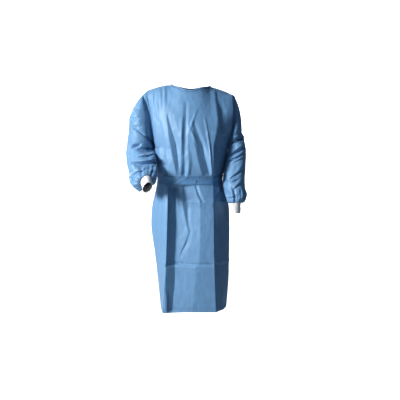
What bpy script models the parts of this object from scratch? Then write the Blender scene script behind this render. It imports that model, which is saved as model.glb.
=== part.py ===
"""Surgical gown of blue non-woven cloth, in the hollow shape that it has when worn.

Metres. +X is the wearer's left, -Y the front and +Z up. The origin lies between the shoulders, at the height
of the neck points, where the wearer carries the gown.
"""

import math
from collections import namedtuple

import bmesh
import bpy
import numpy as np

# Cloth
WALL = 0.0015  # thickness of the gown's cloth
CUFF_WALL = 0.002  # thickness of the knitted cuff
SEAM_GAP = 0.0003  # between two pieces at a seam

# Heights
ARMPIT_Z = -0.300
BELT_TOP_Z = -0.441
BELT_WIDTH = 0.042
HEM_Z = -1.106
HEM_WAVE = 0.005  # the hem hangs this much lower at its right front corner

# Numbers of grid steps
YOKE_ROWS = 12  # armpit to shoulder, and half of a sleeve's ring
CHEST_ROWS = 4
BELT_ROWS = 4
SKIRT_ROWS = 13
SIDE_STEPS = 6  # side seam or armhole to a pressed crease
MIDDLE_STEPS = 16  # between the two pressed creases
BACK_NECK_STEPS = 4  # neck point to centre back
OVERLAP_STEPS = 3  # of these, how many each back panel runs past the centre
SLEEVE_RINGS = 20

# Shape of a level section: |x / width| ** WIDE + |y / depth| ** DEEP = 1
WIDE, DEEP = 2.4, 2.3
CREASE_DEPTH = 0.985  # of the front's depth that a fully pressed crease reaches
SIDE_BULGE = 0.22  # how much the cloth between a side seam and a pressed crease rounds out

# Neckline, seen from above: half an ellipse in front and half behind
NECK_HALF = 0.096
NECK_FRONT = 0.084
NECK_BACK = 0.072
CREASE_AT_SHOULDER = 0.116
YOKE_SPREAD = 1.6  # how late the yoke's columns fan out towards the neckline as they rise
BINDING_WIDTH = 0.007
BINDING_WALL = 0.0016
BINDING_GAP = 0.0009  # from the neckline's edge to the tape, which stands above it

# Back closure: the right back panel laps over the left one
LAP_DEPTH = 0.0045  # the under panel lies this far below the upper one
FASTENER_WALL = 0.001
FASTENER_TOP, FASTENER_LOW = 0.30, 0.95  # shares of the way from the neckline to the next row of the back

# Belt
BELT_WALL = 0.0015
BELT_CLEARANCE = 0.0008
BELT_PRESS = 0.45  # share of a valley's depth that the belt presses out
BELT_PRESS_REACH = 0.012  # how far above and below the belt the folds are pressed
KNOT_SQUARENESS = 0.72  # 1 is an ellipsoid, 0 a block
KNOT_FLAT = -0.6  # share of its depth where the knot is flat against the belt
KNOT_SIZE = (0.040, 0.021, 0.036)
TAIL_WIDTH = 0.036
TAIL_WALL = 0.0015
TAIL_ROOT = 0.0105  # x of each end's middle where it leaves the knot
TAIL_SPREAD = 0.09  # slope that keeps the two ends apart
TAIL_CLEARANCE = 0.0118  # from the gown's back to an end's middle

# Cuffs
CUFF_HALF_WIDE = 0.0325
CUFF_HALF_NARROW = 0.0235
CUFF_LENGTH = 0.058
CUFF_RIBS = 24
RIB_HEIGHT = 0.0005

# Level sections of the body, from the armpit to the hem. right and left are the half widths on the wearer's
# sides, front and back the depths, and the pressed columns say how square each pressed crease stands.
Section = namedtuple("Section", "z right left front back crease_right crease_left pressed_right pressed_left")
SECTIONS = (
    Section(-0.300, 0.180, 0.185, 0.128, 0.120, 0.116, 0.110, 0.10, 0.65),
    Section(-0.370, 0.177, 0.176, 0.131, 0.114, 0.115, 0.110, 0.15, 0.80),
    Section(-0.425, 0.172, 0.163, 0.125, 0.103, 0.114, 0.109, 0.15, 0.70),
    Section(-0.462, 0.166, 0.156, 0.112, 0.094, 0.111, 0.109, 0.10, 0.35),
    Section(-0.500, 0.173, 0.164, 0.116, 0.101, 0.110, 0.109, 0.30, 0.50),
    Section(-0.590, 0.193, 0.188, 0.126, 0.122, 0.111, 0.111, 0.80, 0.80),
    Section(-0.680, 0.199, 0.192, 0.131, 0.134, 0.114, 0.112, 0.95, 0.95),
    Section(-0.825, 0.182, 0.191, 0.134, 0.140, 0.120, 0.114, 1.00, 1.00),
    Section(-0.960, 0.166, 0.188, 0.134, 0.142, 0.128, 0.118, 1.00, 1.00),
    Section(-1.106, 0.152, 0.177, 0.132, 0.146, 0.137, 0.124, 1.00, 1.00),
)

# Height of the shoulder line, and of the dome that the neckline is cut from, across the body.
Shoulder = namedtuple("Shoulder", "x z")
SHOULDER_LINE = (
    Shoulder(-0.2165, -0.0230),
    Shoulder(-0.1700, -0.0070),
    Shoulder(-0.1300, 0.0030),
    Shoulder(-0.0960, 0.0070),
    Shoulder(-0.0500, 0.0420),
    Shoulder(0.0000, 0.0560),
    Shoulder(0.0500, 0.0420),
    Shoulder(0.0960, -0.0020),
    Shoulder(0.1300, -0.0130),
    Shoulder(0.1800, -0.0320),
    Shoulder(0.2165, -0.0500),
)

# Armhole: x of its edge on each side and the share of the body's width there, from the armpit (rise 0) to
# the shoulder (rise 1). A smaller share brings the edge further forward.
Armhole = namedtuple("Armhole", "rise right left share")
ARMHOLE = (
    Armhole(0.00, 0.180, 0.1850, 1.000),
    Armhole(0.15, 0.184, 0.1930, 0.962),
    Armhole(0.35, 0.186, 0.1990, 0.925),
    Armhole(0.60, 0.187, 0.2040, 0.900),
    Armhole(0.80, 0.196, 0.2100, 0.905),
    Armhole(1.00, 0.2165, 0.2165, 0.930),
)

# Folds of the front, as seen from the front: a ridge has a positive height and a valley a negative one.
Fold = namedtuple("Fold", "x_top z_top height_top x_low z_low height_low width")
FRONT_FOLDS = (
    Fold(-0.158, -0.045, -0.007, -0.158, -0.165, -0.006, 0.020),  # by the right armhole
    Fold(-0.143, -0.025, 0.006, -0.147, -0.170, 0.005, 0.018),
    Fold(-0.160, -0.170, -0.004, -0.116, -0.432, -0.009, 0.026),
    Fold(-0.103, -0.172, -0.004, -0.066, -0.436, -0.013, 0.024),  # radiating up from the belt
    Fold(-0.042, -0.172, 0.005, -0.047, -0.425, 0.006, 0.020),
    Fold(-0.020, -0.310, -0.002, -0.032, -0.436, -0.011, 0.014),
    Fold(0.036, -0.170, -0.005, 0.078, -0.430, -0.009, 0.024),
    Fold(0.064, -0.172, 0.004, 0.094, -0.415, 0.005, 0.020),
    Fold(0.154, -0.050, -0.006, 0.168, -0.228, -0.010, 0.030),  # from the left shoulder
    Fold(-0.052, -0.486, -0.014, -0.076, -0.610, -0.011, 0.020),  # from the belt down
    Fold(-0.040, -0.500, 0.004, -0.064, -0.720, 0.004, 0.016),
    Fold(-0.026, -0.486, -0.012, -0.004, -0.690, -0.006, 0.018),
    Fold(-0.004, -0.690, -0.006, -0.046, -0.790, -0.003, 0.020),
    Fold(-0.076, -0.600, -0.011, -0.088, -1.106, -0.012, 0.055),  # hollow beside the right crease
    Fold(0.130, -0.495, -0.007, 0.168, -0.600, -0.007, 0.020),
)
BACK_FOLDS = (
    Fold(-0.090, -0.060, -0.004, -0.075, -0.430, -0.010, 0.026),
    Fold(-0.055, -0.300, 0.003, -0.045, -0.425, 0.004, 0.018),
    Fold(0.120, -0.080, -0.005, 0.100, -0.430, -0.010, 0.028),
    Fold(-0.100, -0.486, -0.012, -0.125, -0.900, -0.008, 0.030),
    Fold(-0.030, -0.486, -0.010, -0.040, -0.860, -0.004, 0.026),
    Fold(0.110, -0.486, -0.012, 0.130, -0.950, -0.008, 0.030),
    Fold(-0.140, -0.560, 0.006, -0.155, -1.106, 0.008, 0.030),
    Fold(0.155, -0.560, 0.006, 0.165, -1.106, 0.008, 0.030),
)

# Sleeves: a ring for each row, spanned by a point on its outer side and one on its inner side, and by half
# its depth across them. They run from the armhole to the wrist.
Ring = namedtuple("Ring", "outer_x outer_y outer_z inner_x inner_y inner_z depth")
LEFT_RINGS = (
    Ring(0.2165, 0.000, -0.050, 0.1850, 0.000, -0.300, 0.058),
    Ring(0.2360, 0.001, -0.099, 0.1870, 0.000, -0.302, 0.062),
    Ring(0.2475, 0.003, -0.157, 0.1888, -0.001, -0.305, 0.066),
    Ring(0.2520, 0.006, -0.215, 0.1896, -0.004, -0.311, 0.067),
    Ring(0.2640, 0.008, -0.270, 0.1888, -0.011, -0.325, 0.066),
    Ring(0.2705, 0.006, -0.325, 0.1825, -0.020, -0.350, 0.063),
    Ring(0.2690, -0.006, -0.385, 0.1720, -0.036, -0.390, 0.060),
    Ring(0.2660, -0.026, -0.445, 0.1590, -0.056, -0.445, 0.056),
    Ring(0.2650, -0.048, -0.500, 0.1620, -0.072, -0.500, 0.053),
    Ring(0.2730, -0.063, -0.542, 0.1760, -0.080, -0.545, 0.051),
    Ring(0.2640, -0.070, -0.566, 0.1840, -0.082, -0.568, 0.046),
)
RIGHT_RINGS = (
    Ring(-0.2165, 0.000, -0.023, -0.1800, 0.000, -0.300, 0.060),
    Ring(-0.2505, 0.000, -0.055, -0.1830, -0.001, -0.302, 0.066),
    Ring(-0.2830, 0.003, -0.102, -0.1860, -0.004, -0.304, 0.070),
    Ring(-0.3060, 0.009, -0.160, -0.1892, -0.009, -0.306, 0.071),
    Ring(-0.3095, 0.022, -0.225, -0.1910, -0.020, -0.309, 0.069),
    Ring(-0.3135, 0.042, -0.290, -0.1930, -0.037, -0.314, 0.066),
    Ring(-0.3150, 0.050, -0.345, -0.1935, -0.060, -0.323, 0.064),
    Ring(-0.3110, 0.028, -0.393, -0.1880, -0.088, -0.340, 0.062),
    Ring(-0.3030, -0.015, -0.433, -0.1790, -0.116, -0.363, 0.060),
    Ring(-0.2930, -0.065, -0.465, -0.1730, -0.143, -0.388, 0.057),
    Ring(-0.2800, -0.114, -0.491, -0.1710, -0.166, -0.408, 0.053),
    Ring(-0.2640, -0.150, -0.503, -0.1760, -0.184, -0.428, 0.047),
)

# A cuff: the middle of its seam, the way that it points and the way of its wide axis.
Cuff = namedtuple("Cuff", "centre axis wide")
LEFT_CUFF = Cuff((0.2210, -0.077, -0.566), (0.000, -0.080, -1.000), (0.0, 1.0, 0.0))
RIGHT_CUFF = Cuff((-0.2130, -0.178, -0.459), (0.195, -0.830, -0.530), (-0.35, 0.25, -0.90))

# Folds of a sleeve: where they start and end along it (0 armhole, 1 wrist) and round it (degrees from the
# outer side, positive over the front), half their width in metres, and their height.
SleeveFold = namedtuple("SleeveFold", "along_a round_a along_b round_b width height")
RIGHT_FOLDS = (
    SleeveFold(0.18, 10, 0.26, 120, 0.020, -0.007),
    SleeveFold(0.30, -20, 0.44, 130, 0.018, -0.011),
    SleeveFold(0.36, 20, 0.28, 110, 0.018, 0.006),
    SleeveFold(0.50, -30, 0.44, 120, 0.020, 0.009),
    SleeveFold(0.56, -20, 0.58, 140, 0.018, -0.012),
    SleeveFold(0.66, -10, 0.60, 150, 0.018, 0.008),
    SleeveFold(0.74, -40, 0.68, 130, 0.016, -0.010),
    SleeveFold(0.84, 0, 0.76, 130, 0.016, -0.008),
    SleeveFold(0.35, 180, 0.50, 290, 0.022, -0.009),
    SleeveFold(0.62, 170, 0.66, 300, 0.020, -0.010),
    SleeveFold(0.20, 190, 0.28, 300, 0.022, 0.007),
)
LEFT_FOLDS = (
    SleeveFold(0.34, -30, 0.38, 60, 0.014, -0.010),
    SleeveFold(0.40, -30, 0.46, 90, 0.018, 0.008),
    SleeveFold(0.44, -10, 0.54, 100, 0.014, -0.010),
    SleeveFold(0.62, 0, 0.72, 90, 0.016, -0.008),
    SleeveFold(0.76, 20, 0.82, 120, 0.014, -0.008),
    SleeveFold(0.68, 30, 0.66, 130, 0.016, 0.006),
    SleeveFold(0.40, 190, 0.50, 300, 0.022, -0.009),
    SleeveFold(0.66, 180, 0.62, 300, 0.020, -0.009),
)
GATHERS = 9  # gathers where a sleeve is sewn into its cuff
GATHER_HEIGHT = 0.0045
SLEEVE_LENGTH, SLEEVE_GIRTH = 0.62, 0.38  # sizes that the folds' places and widths are measured in
ARMHOLE_BLEND = 0.16  # share of a sleeve over which its rings take the armhole's shape
FACET_ROUNDING = 0.0009  # a ring of flat facets runs this much inside its corners
CUFF_START = 0.004  # the cuff begins this far inside the sleeve
CUFF_RIM = 0.004  # the ribs fade over this last stretch of the cuff
GATHER_TURN = 0.55  # the halfway ring between the gathers and the cuff lies this share of the way in
GATHER_DROP = 0.006  # and this much further along

# Belt ends hanging from the knot: the side that each leans to, its length and how it curls forward.
Tail = namedtuple("Tail", "name lean length twist")
TAILS = (
    Tail("belt_tail_right", -0.10, 0.245, 0.30),
    Tail("belt_tail_left", 0.13, 0.215, -0.25),
)

# Colours: red, green, blue, then roughness
CLOTH_BLUE = ((0.110, 0.300, 0.600), 0.62)
BELT_BLUE = ((0.090, 0.260, 0.560), 0.62)
BINDING_BLUE = ((0.240, 0.420, 0.680), 0.70)
CUFF_WHITE = ((0.850, 0.840, 0.830), 0.90)
FASTENER_GREY = ((0.780, 0.800, 0.820), 0.90)


def smooth_curve(at, knots, values, level_start=False):
    """A smooth curve through a table's rows, read at the places asked for."""
    at = np.asarray(at, float)
    knots = np.asarray(knots, float)
    values = np.asarray(values, float)
    slopes = np.gradient(values, knots, axis=0)
    if level_start:
        slopes[0] = 0
    at = np.clip(at, knots[0], knots[-1])
    low = np.clip(np.searchsorted(knots, at) - 1, 0, len(knots) - 2)
    step = knots[low + 1] - knots[low]
    t = (at - knots[low]) / step
    if values.ndim > 1:
        t, step = t[..., None], step[..., None]
    rest = 1 - t
    return (
        (1 + 2 * t) * rest**2 * values[low]
        + t * rest**2 * step * slopes[low]
        + t**2 * (3 - 2 * t) * values[low + 1]
        - t**2 * rest * step * slopes[low + 1]
    )


def ease(t):
    """0 to 1 with flat ends."""
    t = np.clip(t, 0, 1)
    return t * t * (3 - 2 * t)


def unit(v):
    """Vectors of length 1."""
    return v / np.maximum(np.linalg.norm(v, axis=-1, keepdims=True), 1e-12)


def column(table, name):
    return np.array([getattr(row, name) for row in table], float)


def section(name, z):
    """One column of the level sections, read at heights z."""
    drop = -np.asarray(z, float)
    return smooth_curve(drop, -column(SECTIONS, "z"), column(SECTIONS, name), level_start=True)


def dome_height(x):
    return smooth_curve(x, column(SHOULDER_LINE, "x"), column(SHOULDER_LINE, "z"))


def armhole(name, rise):
    return smooth_curve(rise, column(ARMHOLE, "rise"), column(ARMHOLE, name))


def fold_height(folds, x, z):
    """How far all the folds together move the cloth out at a place."""
    total = np.zeros(np.broadcast(x, z).shape)
    for f in folds:
        run = np.array([f.x_low - f.x_top, f.z_low - f.z_top])
        length = np.hypot(*run)
        along = ((x - f.x_top) * run[0] + (z - f.z_top) * run[1]) / length**2
        off = np.abs((x - f.x_top) * run[1] - (z - f.z_top) * run[0]) / length
        past = np.maximum(np.maximum(-along, along - 1) * length, 0)
        reach = np.maximum(0, 1 - np.hypot(off, past) / f.width)
        total += (f.height_top + (f.height_low - f.height_top) * np.clip(along, 0, 1)) * reach**1.5
    return total


def outline_depth(share):
    """Depth of a level section, as a share of its greatest, at a share of its half width."""
    return np.maximum(0, 1 - np.abs(share) ** WIDE) ** (1 / DEEP)


def angle_of(share):
    return np.arcsin(np.sign(share) * np.minimum(1, np.abs(share)) ** (WIDE / 2))


def share_of(angle):
    s = np.sin(angle)
    return np.sign(s) * np.abs(s) ** (2 / WIDE)


def yoke_rise():
    """Heights of the yoke's rows as shares of the way from the armpit to the shoulder."""
    return (1 - np.cos(np.pi * np.arange(YOKE_ROWS + 1) / YOKE_ROWS)) / 2


def body_levels():
    """Heights of the rows from the armpit to the hem."""
    belt_low = BELT_TOP_Z - BELT_WIDTH
    margin = 0.010
    chest = np.linspace(ARMPIT_Z, BELT_TOP_Z + margin, CHEST_ROWS, endpoint=False)
    belt = [BELT_TOP_Z + margin, BELT_TOP_Z, (BELT_TOP_Z + belt_low) / 2, belt_low]
    skirt = np.linspace(belt_low - margin, HEM_Z, SKIRT_ROWS + 1)
    return np.concatenate([chest, belt, skirt])


def crease_shares(z):
    """Where the two pressed creases run, as shares of the half widths."""
    return -section("crease_right", z) / section("right", z), section("crease_left", z) / section("left", z)


def spread(ends, steps):
    """Shares of the width from one end to the other in even steps round the section."""
    a, b = (angle_of(np.asarray(e, float)) for e in ends)
    t = np.linspace(0, 1, steps + 1)
    return share_of(a[..., None] + (b - a)[..., None] * t)


def joined(parts):
    """Runs of columns end to end, each sharing its first column with the run before."""
    return np.concatenate([parts[0]] + [p[..., 1:] for p in parts[1:]], axis=-1)


def front_depth(share, z):
    """Depth of the front: round, or square at the pressed creases."""
    right, left = crease_shares(z)
    pressed_right, pressed_left = section("pressed_right", z), section("pressed_left", z)
    middle = np.clip((share - right) / (left - right), 0, 1)
    pressed = pressed_right + (pressed_left - pressed_right) * middle
    side = np.where(share < 0, (share + 1) / (right + 1), (1 - share) / (1 - left))
    side = np.clip(side, 0, 1)
    square = CREASE_DEPTH * side + SIDE_BULGE * side * (1 - side)
    return section("front", z) * ((1 - pressed) * outline_depth(share) + pressed * square)


def body_point(share, z, back):
    """Points of the body below the armpit."""
    width = np.where(share < 0, section("right", z), section("left", z))
    depth = section("back", z) * outline_depth(share) if back else -front_depth(share, z)
    hem = HEM_WAVE * ease((-0.9 - z) / 0.2) * np.where(share < 0, -share, 0) * (not back)
    return np.stack([share * width, depth, z - hem], axis=-1)


def neck_curve(turn, back):
    """x and depth of the neckline, at an angle from the wearer's right neck point."""
    return -NECK_HALF * np.cos(turn), (NECK_BACK if back else NECK_FRONT) * np.sin(turn)


def yoke_point(x, rise_angle, right_width, left_width, back):
    """Points of the yoke, a dome between the two armholes."""
    share = x / np.where(x < 0, right_width, left_width)
    depth = section("back" if back else "front", ARMPIT_Z)
    if back:
        reach = depth * outline_depth(share)
    else:
        pressed = np.cos(rise_angle) ** 2
        plain = depth * outline_depth(share)
        reach = plain + (front_depth(share, ARMPIT_Z) - plain) * pressed
    y = reach * np.cos(rise_angle) * (1 if back else -1)
    z = ARMPIT_Z + (dome_height(x) - ARMPIT_Z) * np.sin(rise_angle)
    return np.stack([x, y, z], axis=-1)


def neck_angle(x, y, back):
    """Rise angle at which the yoke passes a point of the neckline seen from above."""
    share = x / (armhole("left", 1.0) / armhole("share", 1.0))
    depth = section("back" if back else "front", ARMPIT_Z) * outline_depth(share)
    return np.arccos(np.clip(y / depth, 0, 1))


def seam_x(side):
    """x of the shoulder seam's points, from the shoulder to the neck point."""
    tip = armhole(side, 1.0)
    run = np.linspace(tip, CREASE_AT_SHOULDER, SIDE_STEPS + 1)
    x = np.append(run, NECK_HALF)
    return -x if side == "right" else x


def yoke(x_low_share, x_top, angle_top, back):
    """Rows of the yoke from the shoulder down to just above the armpit."""
    rise = yoke_rise()[1:]
    rows = []
    for r in rise[::-1]:
        right = armhole("right", r) / armhole("share", r)
        left = armhole("left", r) / armhole("share", r)
        low = np.where(x_low_share < 0, right, left) * x_low_share
        edge = armhole("share", r)
        low = low * (1 - (1 - edge) * np.abs(x_low_share) ** 3)
        x = low + (x_top - low) * r**YOKE_SPREAD
        angle = np.arcsin(r) * angle_top / (math.pi / 2)
        rows.append(yoke_point(x, angle, right, left, back))
    return np.array(rows)


def folded(points, folds, back=False):
    """The grid moved out by its folds, which lie flat under the belt."""
    normals = grid_normals(points) * (-1 if back else 1)
    x, z = points[..., 0], points[..., 2]
    height = fold_height(folds, x, z)
    belt_middle = BELT_TOP_Z - BELT_WIDTH / 2
    near_belt = ease(1 - (np.abs(z - belt_middle) - BELT_WIDTH / 2) / BELT_PRESS_REACH)
    pressed = np.where(height > 0, 1, BELT_PRESS)
    height = height * (1 - pressed * near_belt)
    return points + normals * height[..., None]


def grid_normals(points):
    """Normals of a grid whose rows run down and whose columns run towards +X on the front."""
    down = np.gradient(points, axis=0)
    across = np.gradient(points, axis=1)
    return unit(np.cross(down, across))


def front_grid():
    z = body_levels()
    right, left = crease_shares(z)
    ends = np.ones_like(z)
    low = joined([
        spread((-ends, right), SIDE_STEPS),
        spread((right, left), MIDDLE_STEPS),
        spread((left, ends), SIDE_STEPS),
    ])
    body = body_point(low, np.repeat(z[:, None], low.shape[1], axis=1), back=False)
    turn = np.linspace(0, math.pi, MIDDLE_STEPS - 1)
    neck_x, neck_y = neck_curve(turn, back=False)
    seam_right, seam_left = seam_x("right")[:-1], seam_x("left")[:-1][::-1]
    x_top = np.concatenate([seam_right, neck_x, seam_left])
    on_seam = np.full(SIDE_STEPS + 1, math.pi / 2)
    angle_top = np.concatenate([on_seam, neck_angle(neck_x, neck_y, back=False), on_seam])
    top = yoke(low[0], x_top, angle_top, back=False)
    return np.concatenate([top, body])


def back_grid():
    """The whole back between the side seams, in columns that both back panels share."""
    z = body_levels()
    ends = np.ones_like(z)
    neck_right, neck_left = -NECK_HALF / section("right", z), NECK_HALF / section("left", z)
    low = joined([
        spread((-ends, neck_right), SIDE_STEPS + 1),
        spread((neck_right, 0 * ends), BACK_NECK_STEPS),
        spread((0 * ends, neck_left), BACK_NECK_STEPS),
        spread((neck_left, ends), SIDE_STEPS + 1),
    ])
    body = body_point(low, np.repeat(z[:, None], low.shape[1], axis=1), back=True)
    neck_x, neck_y = neck_curve(np.linspace(0, math.pi, 2 * BACK_NECK_STEPS + 1), back=True)
    x_top = np.concatenate([seam_x("right")[:-1], neck_x, seam_x("left")[:-1][::-1]])
    on_seam = np.full(SIDE_STEPS + 1, math.pi / 2)
    angle_top = np.concatenate([on_seam, neck_angle(neck_x, neck_y, back=True), on_seam])
    top = yoke(low[0], x_top, angle_top, back=True)
    return np.concatenate([top, body])


def back_panels(whole):
    """The two back panels: the left one ends and dips below the right one, which laps over it."""
    whole = folded(whole, BACK_FOLDS, back=True)
    facing = -grid_normals(whole)
    centre = SIDE_STEPS + 1 + BACK_NECK_STEPS
    under = whole - facing * LAP_DEPTH
    end = centre + OVERLAP_STEPS + 1
    left = np.concatenate([under[:, :end], whole[:, end:]], axis=1)
    return whole[:, :end], left[:, centre - OVERLAP_STEPS :]


def solid(name, outer, inner, colour, around=False):
    """A closed wall between two grids of the same size. around joins the last column to the first."""
    mesh = bmesh.new()
    rows, columns = outer.shape[:2]
    sides = [[[mesh.verts.new(p) for p in row] for row in side] for side in (outer, inner)]
    last = columns if around else columns - 1
    for r in range(rows - 1):
        for c in range(last):
            d = (c + 1) % columns
            mesh.faces.new([sides[0][r][c], sides[0][r + 1][c], sides[0][r + 1][d], sides[0][r][d]])
            mesh.faces.new([sides[1][r][d], sides[1][r + 1][d], sides[1][r + 1][c], sides[1][r][c]])
    for c in range(last):
        d = (c + 1) % columns
        mesh.faces.new([sides[0][0][c], sides[0][0][d], sides[1][0][d], sides[1][0][c]])
        mesh.faces.new([sides[0][-1][d], sides[0][-1][c], sides[1][-1][c], sides[1][-1][d]])
    if not around:
        for r in range(rows - 1):
            mesh.faces.new([sides[0][r + 1][0], sides[0][r][0], sides[1][r][0], sides[1][r + 1][0]])
            mesh.faces.new([sides[0][r][-1], sides[0][r + 1][-1], sides[1][r + 1][-1], sides[1][r][-1]])
    bmesh.ops.triangulate(mesh, faces=mesh.faces, quad_method="SHORT_EDGE")
    bmesh.ops.recalc_face_normals(mesh, faces=mesh.faces)
    data = bpy.data.meshes.new(name)
    mesh.to_mesh(data)
    mesh.free()
    data.shade_smooth()
    data.set_sharp_from_angle(angle=math.radians(35))
    data.materials.append(material(colour))
    bpy.context.collection.objects.link(bpy.data.objects.new(name, data))


def material(colour):
    (red, green, blue), roughness = colour
    name = f"cloth_{round(red * 1000):03d}_{round(green * 1000):03d}"
    made = bpy.data.materials.get(name)
    if made:
        return made
    made = bpy.data.materials.new(name)
    made.use_nodes = True
    shader = made.node_tree.nodes["Principled BSDF"]
    shader.inputs["Base Color"].default_value = (red, green, blue, 1)
    shader.inputs["Roughness"].default_value = roughness
    shader.inputs["Metallic"].default_value = 0
    return made


def sleeve_rings(rings, armhole_points):
    """Points of a sleeve's rings, where each lies along it and the angle of each point round it."""
    count = 2 * YOKE_ROWS
    turn = math.pi - np.arange(count) * math.pi / YOKE_ROWS
    outer = np.array([[r.outer_x, r.outer_y, r.outer_z] for r in rings])
    inner = np.array([[r.inner_x, r.inner_y, r.inner_z] for r in rings])
    middle = (outer + inner) / 2
    run = np.linalg.norm(np.diff(middle, axis=0), axis=1)
    run = run + 0.3 * np.linalg.norm(np.diff(outer, axis=0), axis=1)
    knots = np.concatenate([[0], np.cumsum(run)])
    knots /= knots[-1]
    at = np.linspace(0, 1, SLEEVE_RINGS)
    outer_at = smooth_curve(at, knots, outer)
    inner_at = smooth_curve(at, knots, inner)
    depth = smooth_curve(at, knots, np.array([r.depth for r in rings]))
    middle_at = (outer_at + inner_at) / 2
    along = unit(np.gradient(middle_at, axis=0))
    across = unit(outer_at - inner_at)
    front = unit(np.cross(along, across))
    front *= np.sign(front[:, 1:2] * -1)
    points = (
        middle_at[:, None]
        + (outer_at - inner_at)[:, None] / 2 * np.cos(turn)[None, :, None]
        + front[:, None] * depth[:, None, None] * np.sin(turn)[None, :, None]
    )
    blend = ease(at / ARMHOLE_BLEND)[:, None, None]
    shift = armhole_points[None] - points[:1]
    points = points + shift * (1 - blend)
    return at, turn, points


def sleeve_fold_height(folds, at, turn):
    """Heights of a sleeve's folds and of its gathers at the cuff."""
    length, radius = SLEEVE_LENGTH, SLEEVE_GIRTH / (2 * math.pi)
    s = at[:, None] * length
    total = np.zeros((len(at), len(turn)))
    for f in folds:
        a = np.array([f.along_a * length, math.radians(f.round_a)])
        b = np.array([f.along_b * length, math.radians(f.round_b)])
        centre = (a[1] + b[1]) / 2
        w = (turn[None] - centre + math.pi) % (2 * math.pi) - math.pi + centre
        run = np.array([b[0] - a[0], (b[1] - a[1]) * radius])
        size = np.hypot(*run)
        ds, dw = s - a[0], (w - a[1]) * radius
        along = (ds * run[0] + dw * run[1]) / size**2
        off = np.abs(ds * run[1] - dw * run[0]) / size
        past = np.maximum(np.maximum(-along, along - 1) * size, 0)
        total += f.height * np.maximum(0, 1 - np.hypot(off, past) / f.width) ** 1.2
    gathered = GATHER_HEIGHT * np.cos(GATHERS * turn[None]) * ease((at[:, None] - 0.86) / 0.1)
    return total * ease(at[:, None] / 0.1) * ease((1 - at[:, None]) / 0.06) + gathered


def cuff_frame(cuff):
    """Centre, axis, wide and narrow directions of a cuff."""
    axis = unit(np.array(cuff.axis))
    wide = np.array(cuff.wide)
    wide = unit(wide - axis * (wide @ axis))
    return np.array(cuff.centre), axis, wide, np.cross(axis, wide)


def cuff_ring(cuff, directions, grow):
    """Points on the cuff's outline, larger by grow, nearest to the directions given."""
    centre, _, wide, narrow = cuff_frame(cuff)
    a, b = CUFF_HALF_WIDE + grow, CUFF_HALF_NARROW + grow
    u, v = directions @ wide, directions @ narrow
    angle = np.arctan2(v / b, u / a)
    return centre + a * np.cos(angle)[:, None] * wide + b * np.sin(angle)[:, None] * narrow


def make_sleeve(side, rings, cuff, folds, armhole_points, armhole_mitre, away):
    """A sleeve from its armhole seam to the outside of its cuff."""
    at, turn, points = sleeve_rings(rings, armhole_points)
    height = sleeve_fold_height(folds, at, turn)
    points = points + outward(points) * height[..., None]
    centre, axis, _, _ = cuff_frame(cuff)
    end = cuff_ring(cuff, points[-1] - centre, SEAM_GAP + FACET_ROUNDING)
    halfway = points[-1] + (end - points[-1]) * GATHER_TURN + axis * GATHER_DROP
    points = np.concatenate([points, halfway[None], end[None]])
    facing = outward(points)
    facing[0] = armhole_mitre
    facing[-1] = axis
    facing[-2] = unit(facing[-2] + axis)
    points[0] += away * SEAM_GAP * 0.6
    inner = points - facing * WALL
    solid(f"sleeve_{side}", points, inner, CLOTH_BLUE, around=True)


def outward(points):
    """Outward normals of a tube of rings."""
    round_it = np.roll(points, -1, axis=1) - np.roll(points, 1, axis=1)
    along = np.gradient(points, axis=0)
    normal = unit(np.cross(round_it, along))
    middle = points.mean(axis=1, keepdims=True)
    flip = np.sign(((points - middle) * normal).sum(axis=(1, 2)))
    return normal * np.where(flip == 0, 1, flip)[:, None, None]


def make_cuff(side, cuff):
    """A knitted cuff, a short oval tube with ribs on its outside."""
    centre, axis, wide, narrow = cuff_frame(cuff)
    count = 2 * CUFF_RIBS
    turn = np.arange(count) * 2 * math.pi / count
    rib = np.where(np.arange(count) % 2 == 0, RIB_HEIGHT, 0.0)
    rows_out, rows_in = [], []
    for down, ribbed in ((-CUFF_START, 0), (GATHER_DROP, 1), (CUFF_LENGTH - CUFF_RIM, 1), (CUFF_LENGTH, 0.3)):
        for rows, more in ((rows_out, rib * ribbed), (rows_in, np.full(count, -CUFF_WALL))):
            a = (CUFF_HALF_WIDE + more) * np.cos(turn)
            b = (CUFF_HALF_NARROW + more) * np.sin(turn)
            rows.append(centre + axis * down + a[:, None] * wide + b[:, None] * narrow)
    solid(f"cuff_{side}", np.array(rows_out), np.array(rows_in), CUFF_WHITE, around=True)


def make_belt(front, back):
    """The belt, a closed band round the waist, made from the body's own points moved out."""
    rows = slice(YOKE_ROWS + CHEST_ROWS + 1, YOKE_ROWS + CHEST_ROWS + 4)
    ring = np.concatenate([front[rows], back[rows, ::-1][:, 1:-1]], axis=1)
    facing = outward(ring)
    inner = ring + facing * BELT_CLEARANCE
    outer = inner + facing * BELT_WALL
    solid("belt", outer, inner, BELT_BLUE, around=True)


def belt_face(z):
    """Outside of the belt at the centre back."""
    rows = body_levels()[CHEST_ROWS + 1 : CHEST_ROWS + 4][::-1]
    return np.interp(z, rows, section("back", rows)) + BELT_CLEARANCE + BELT_WALL


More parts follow.
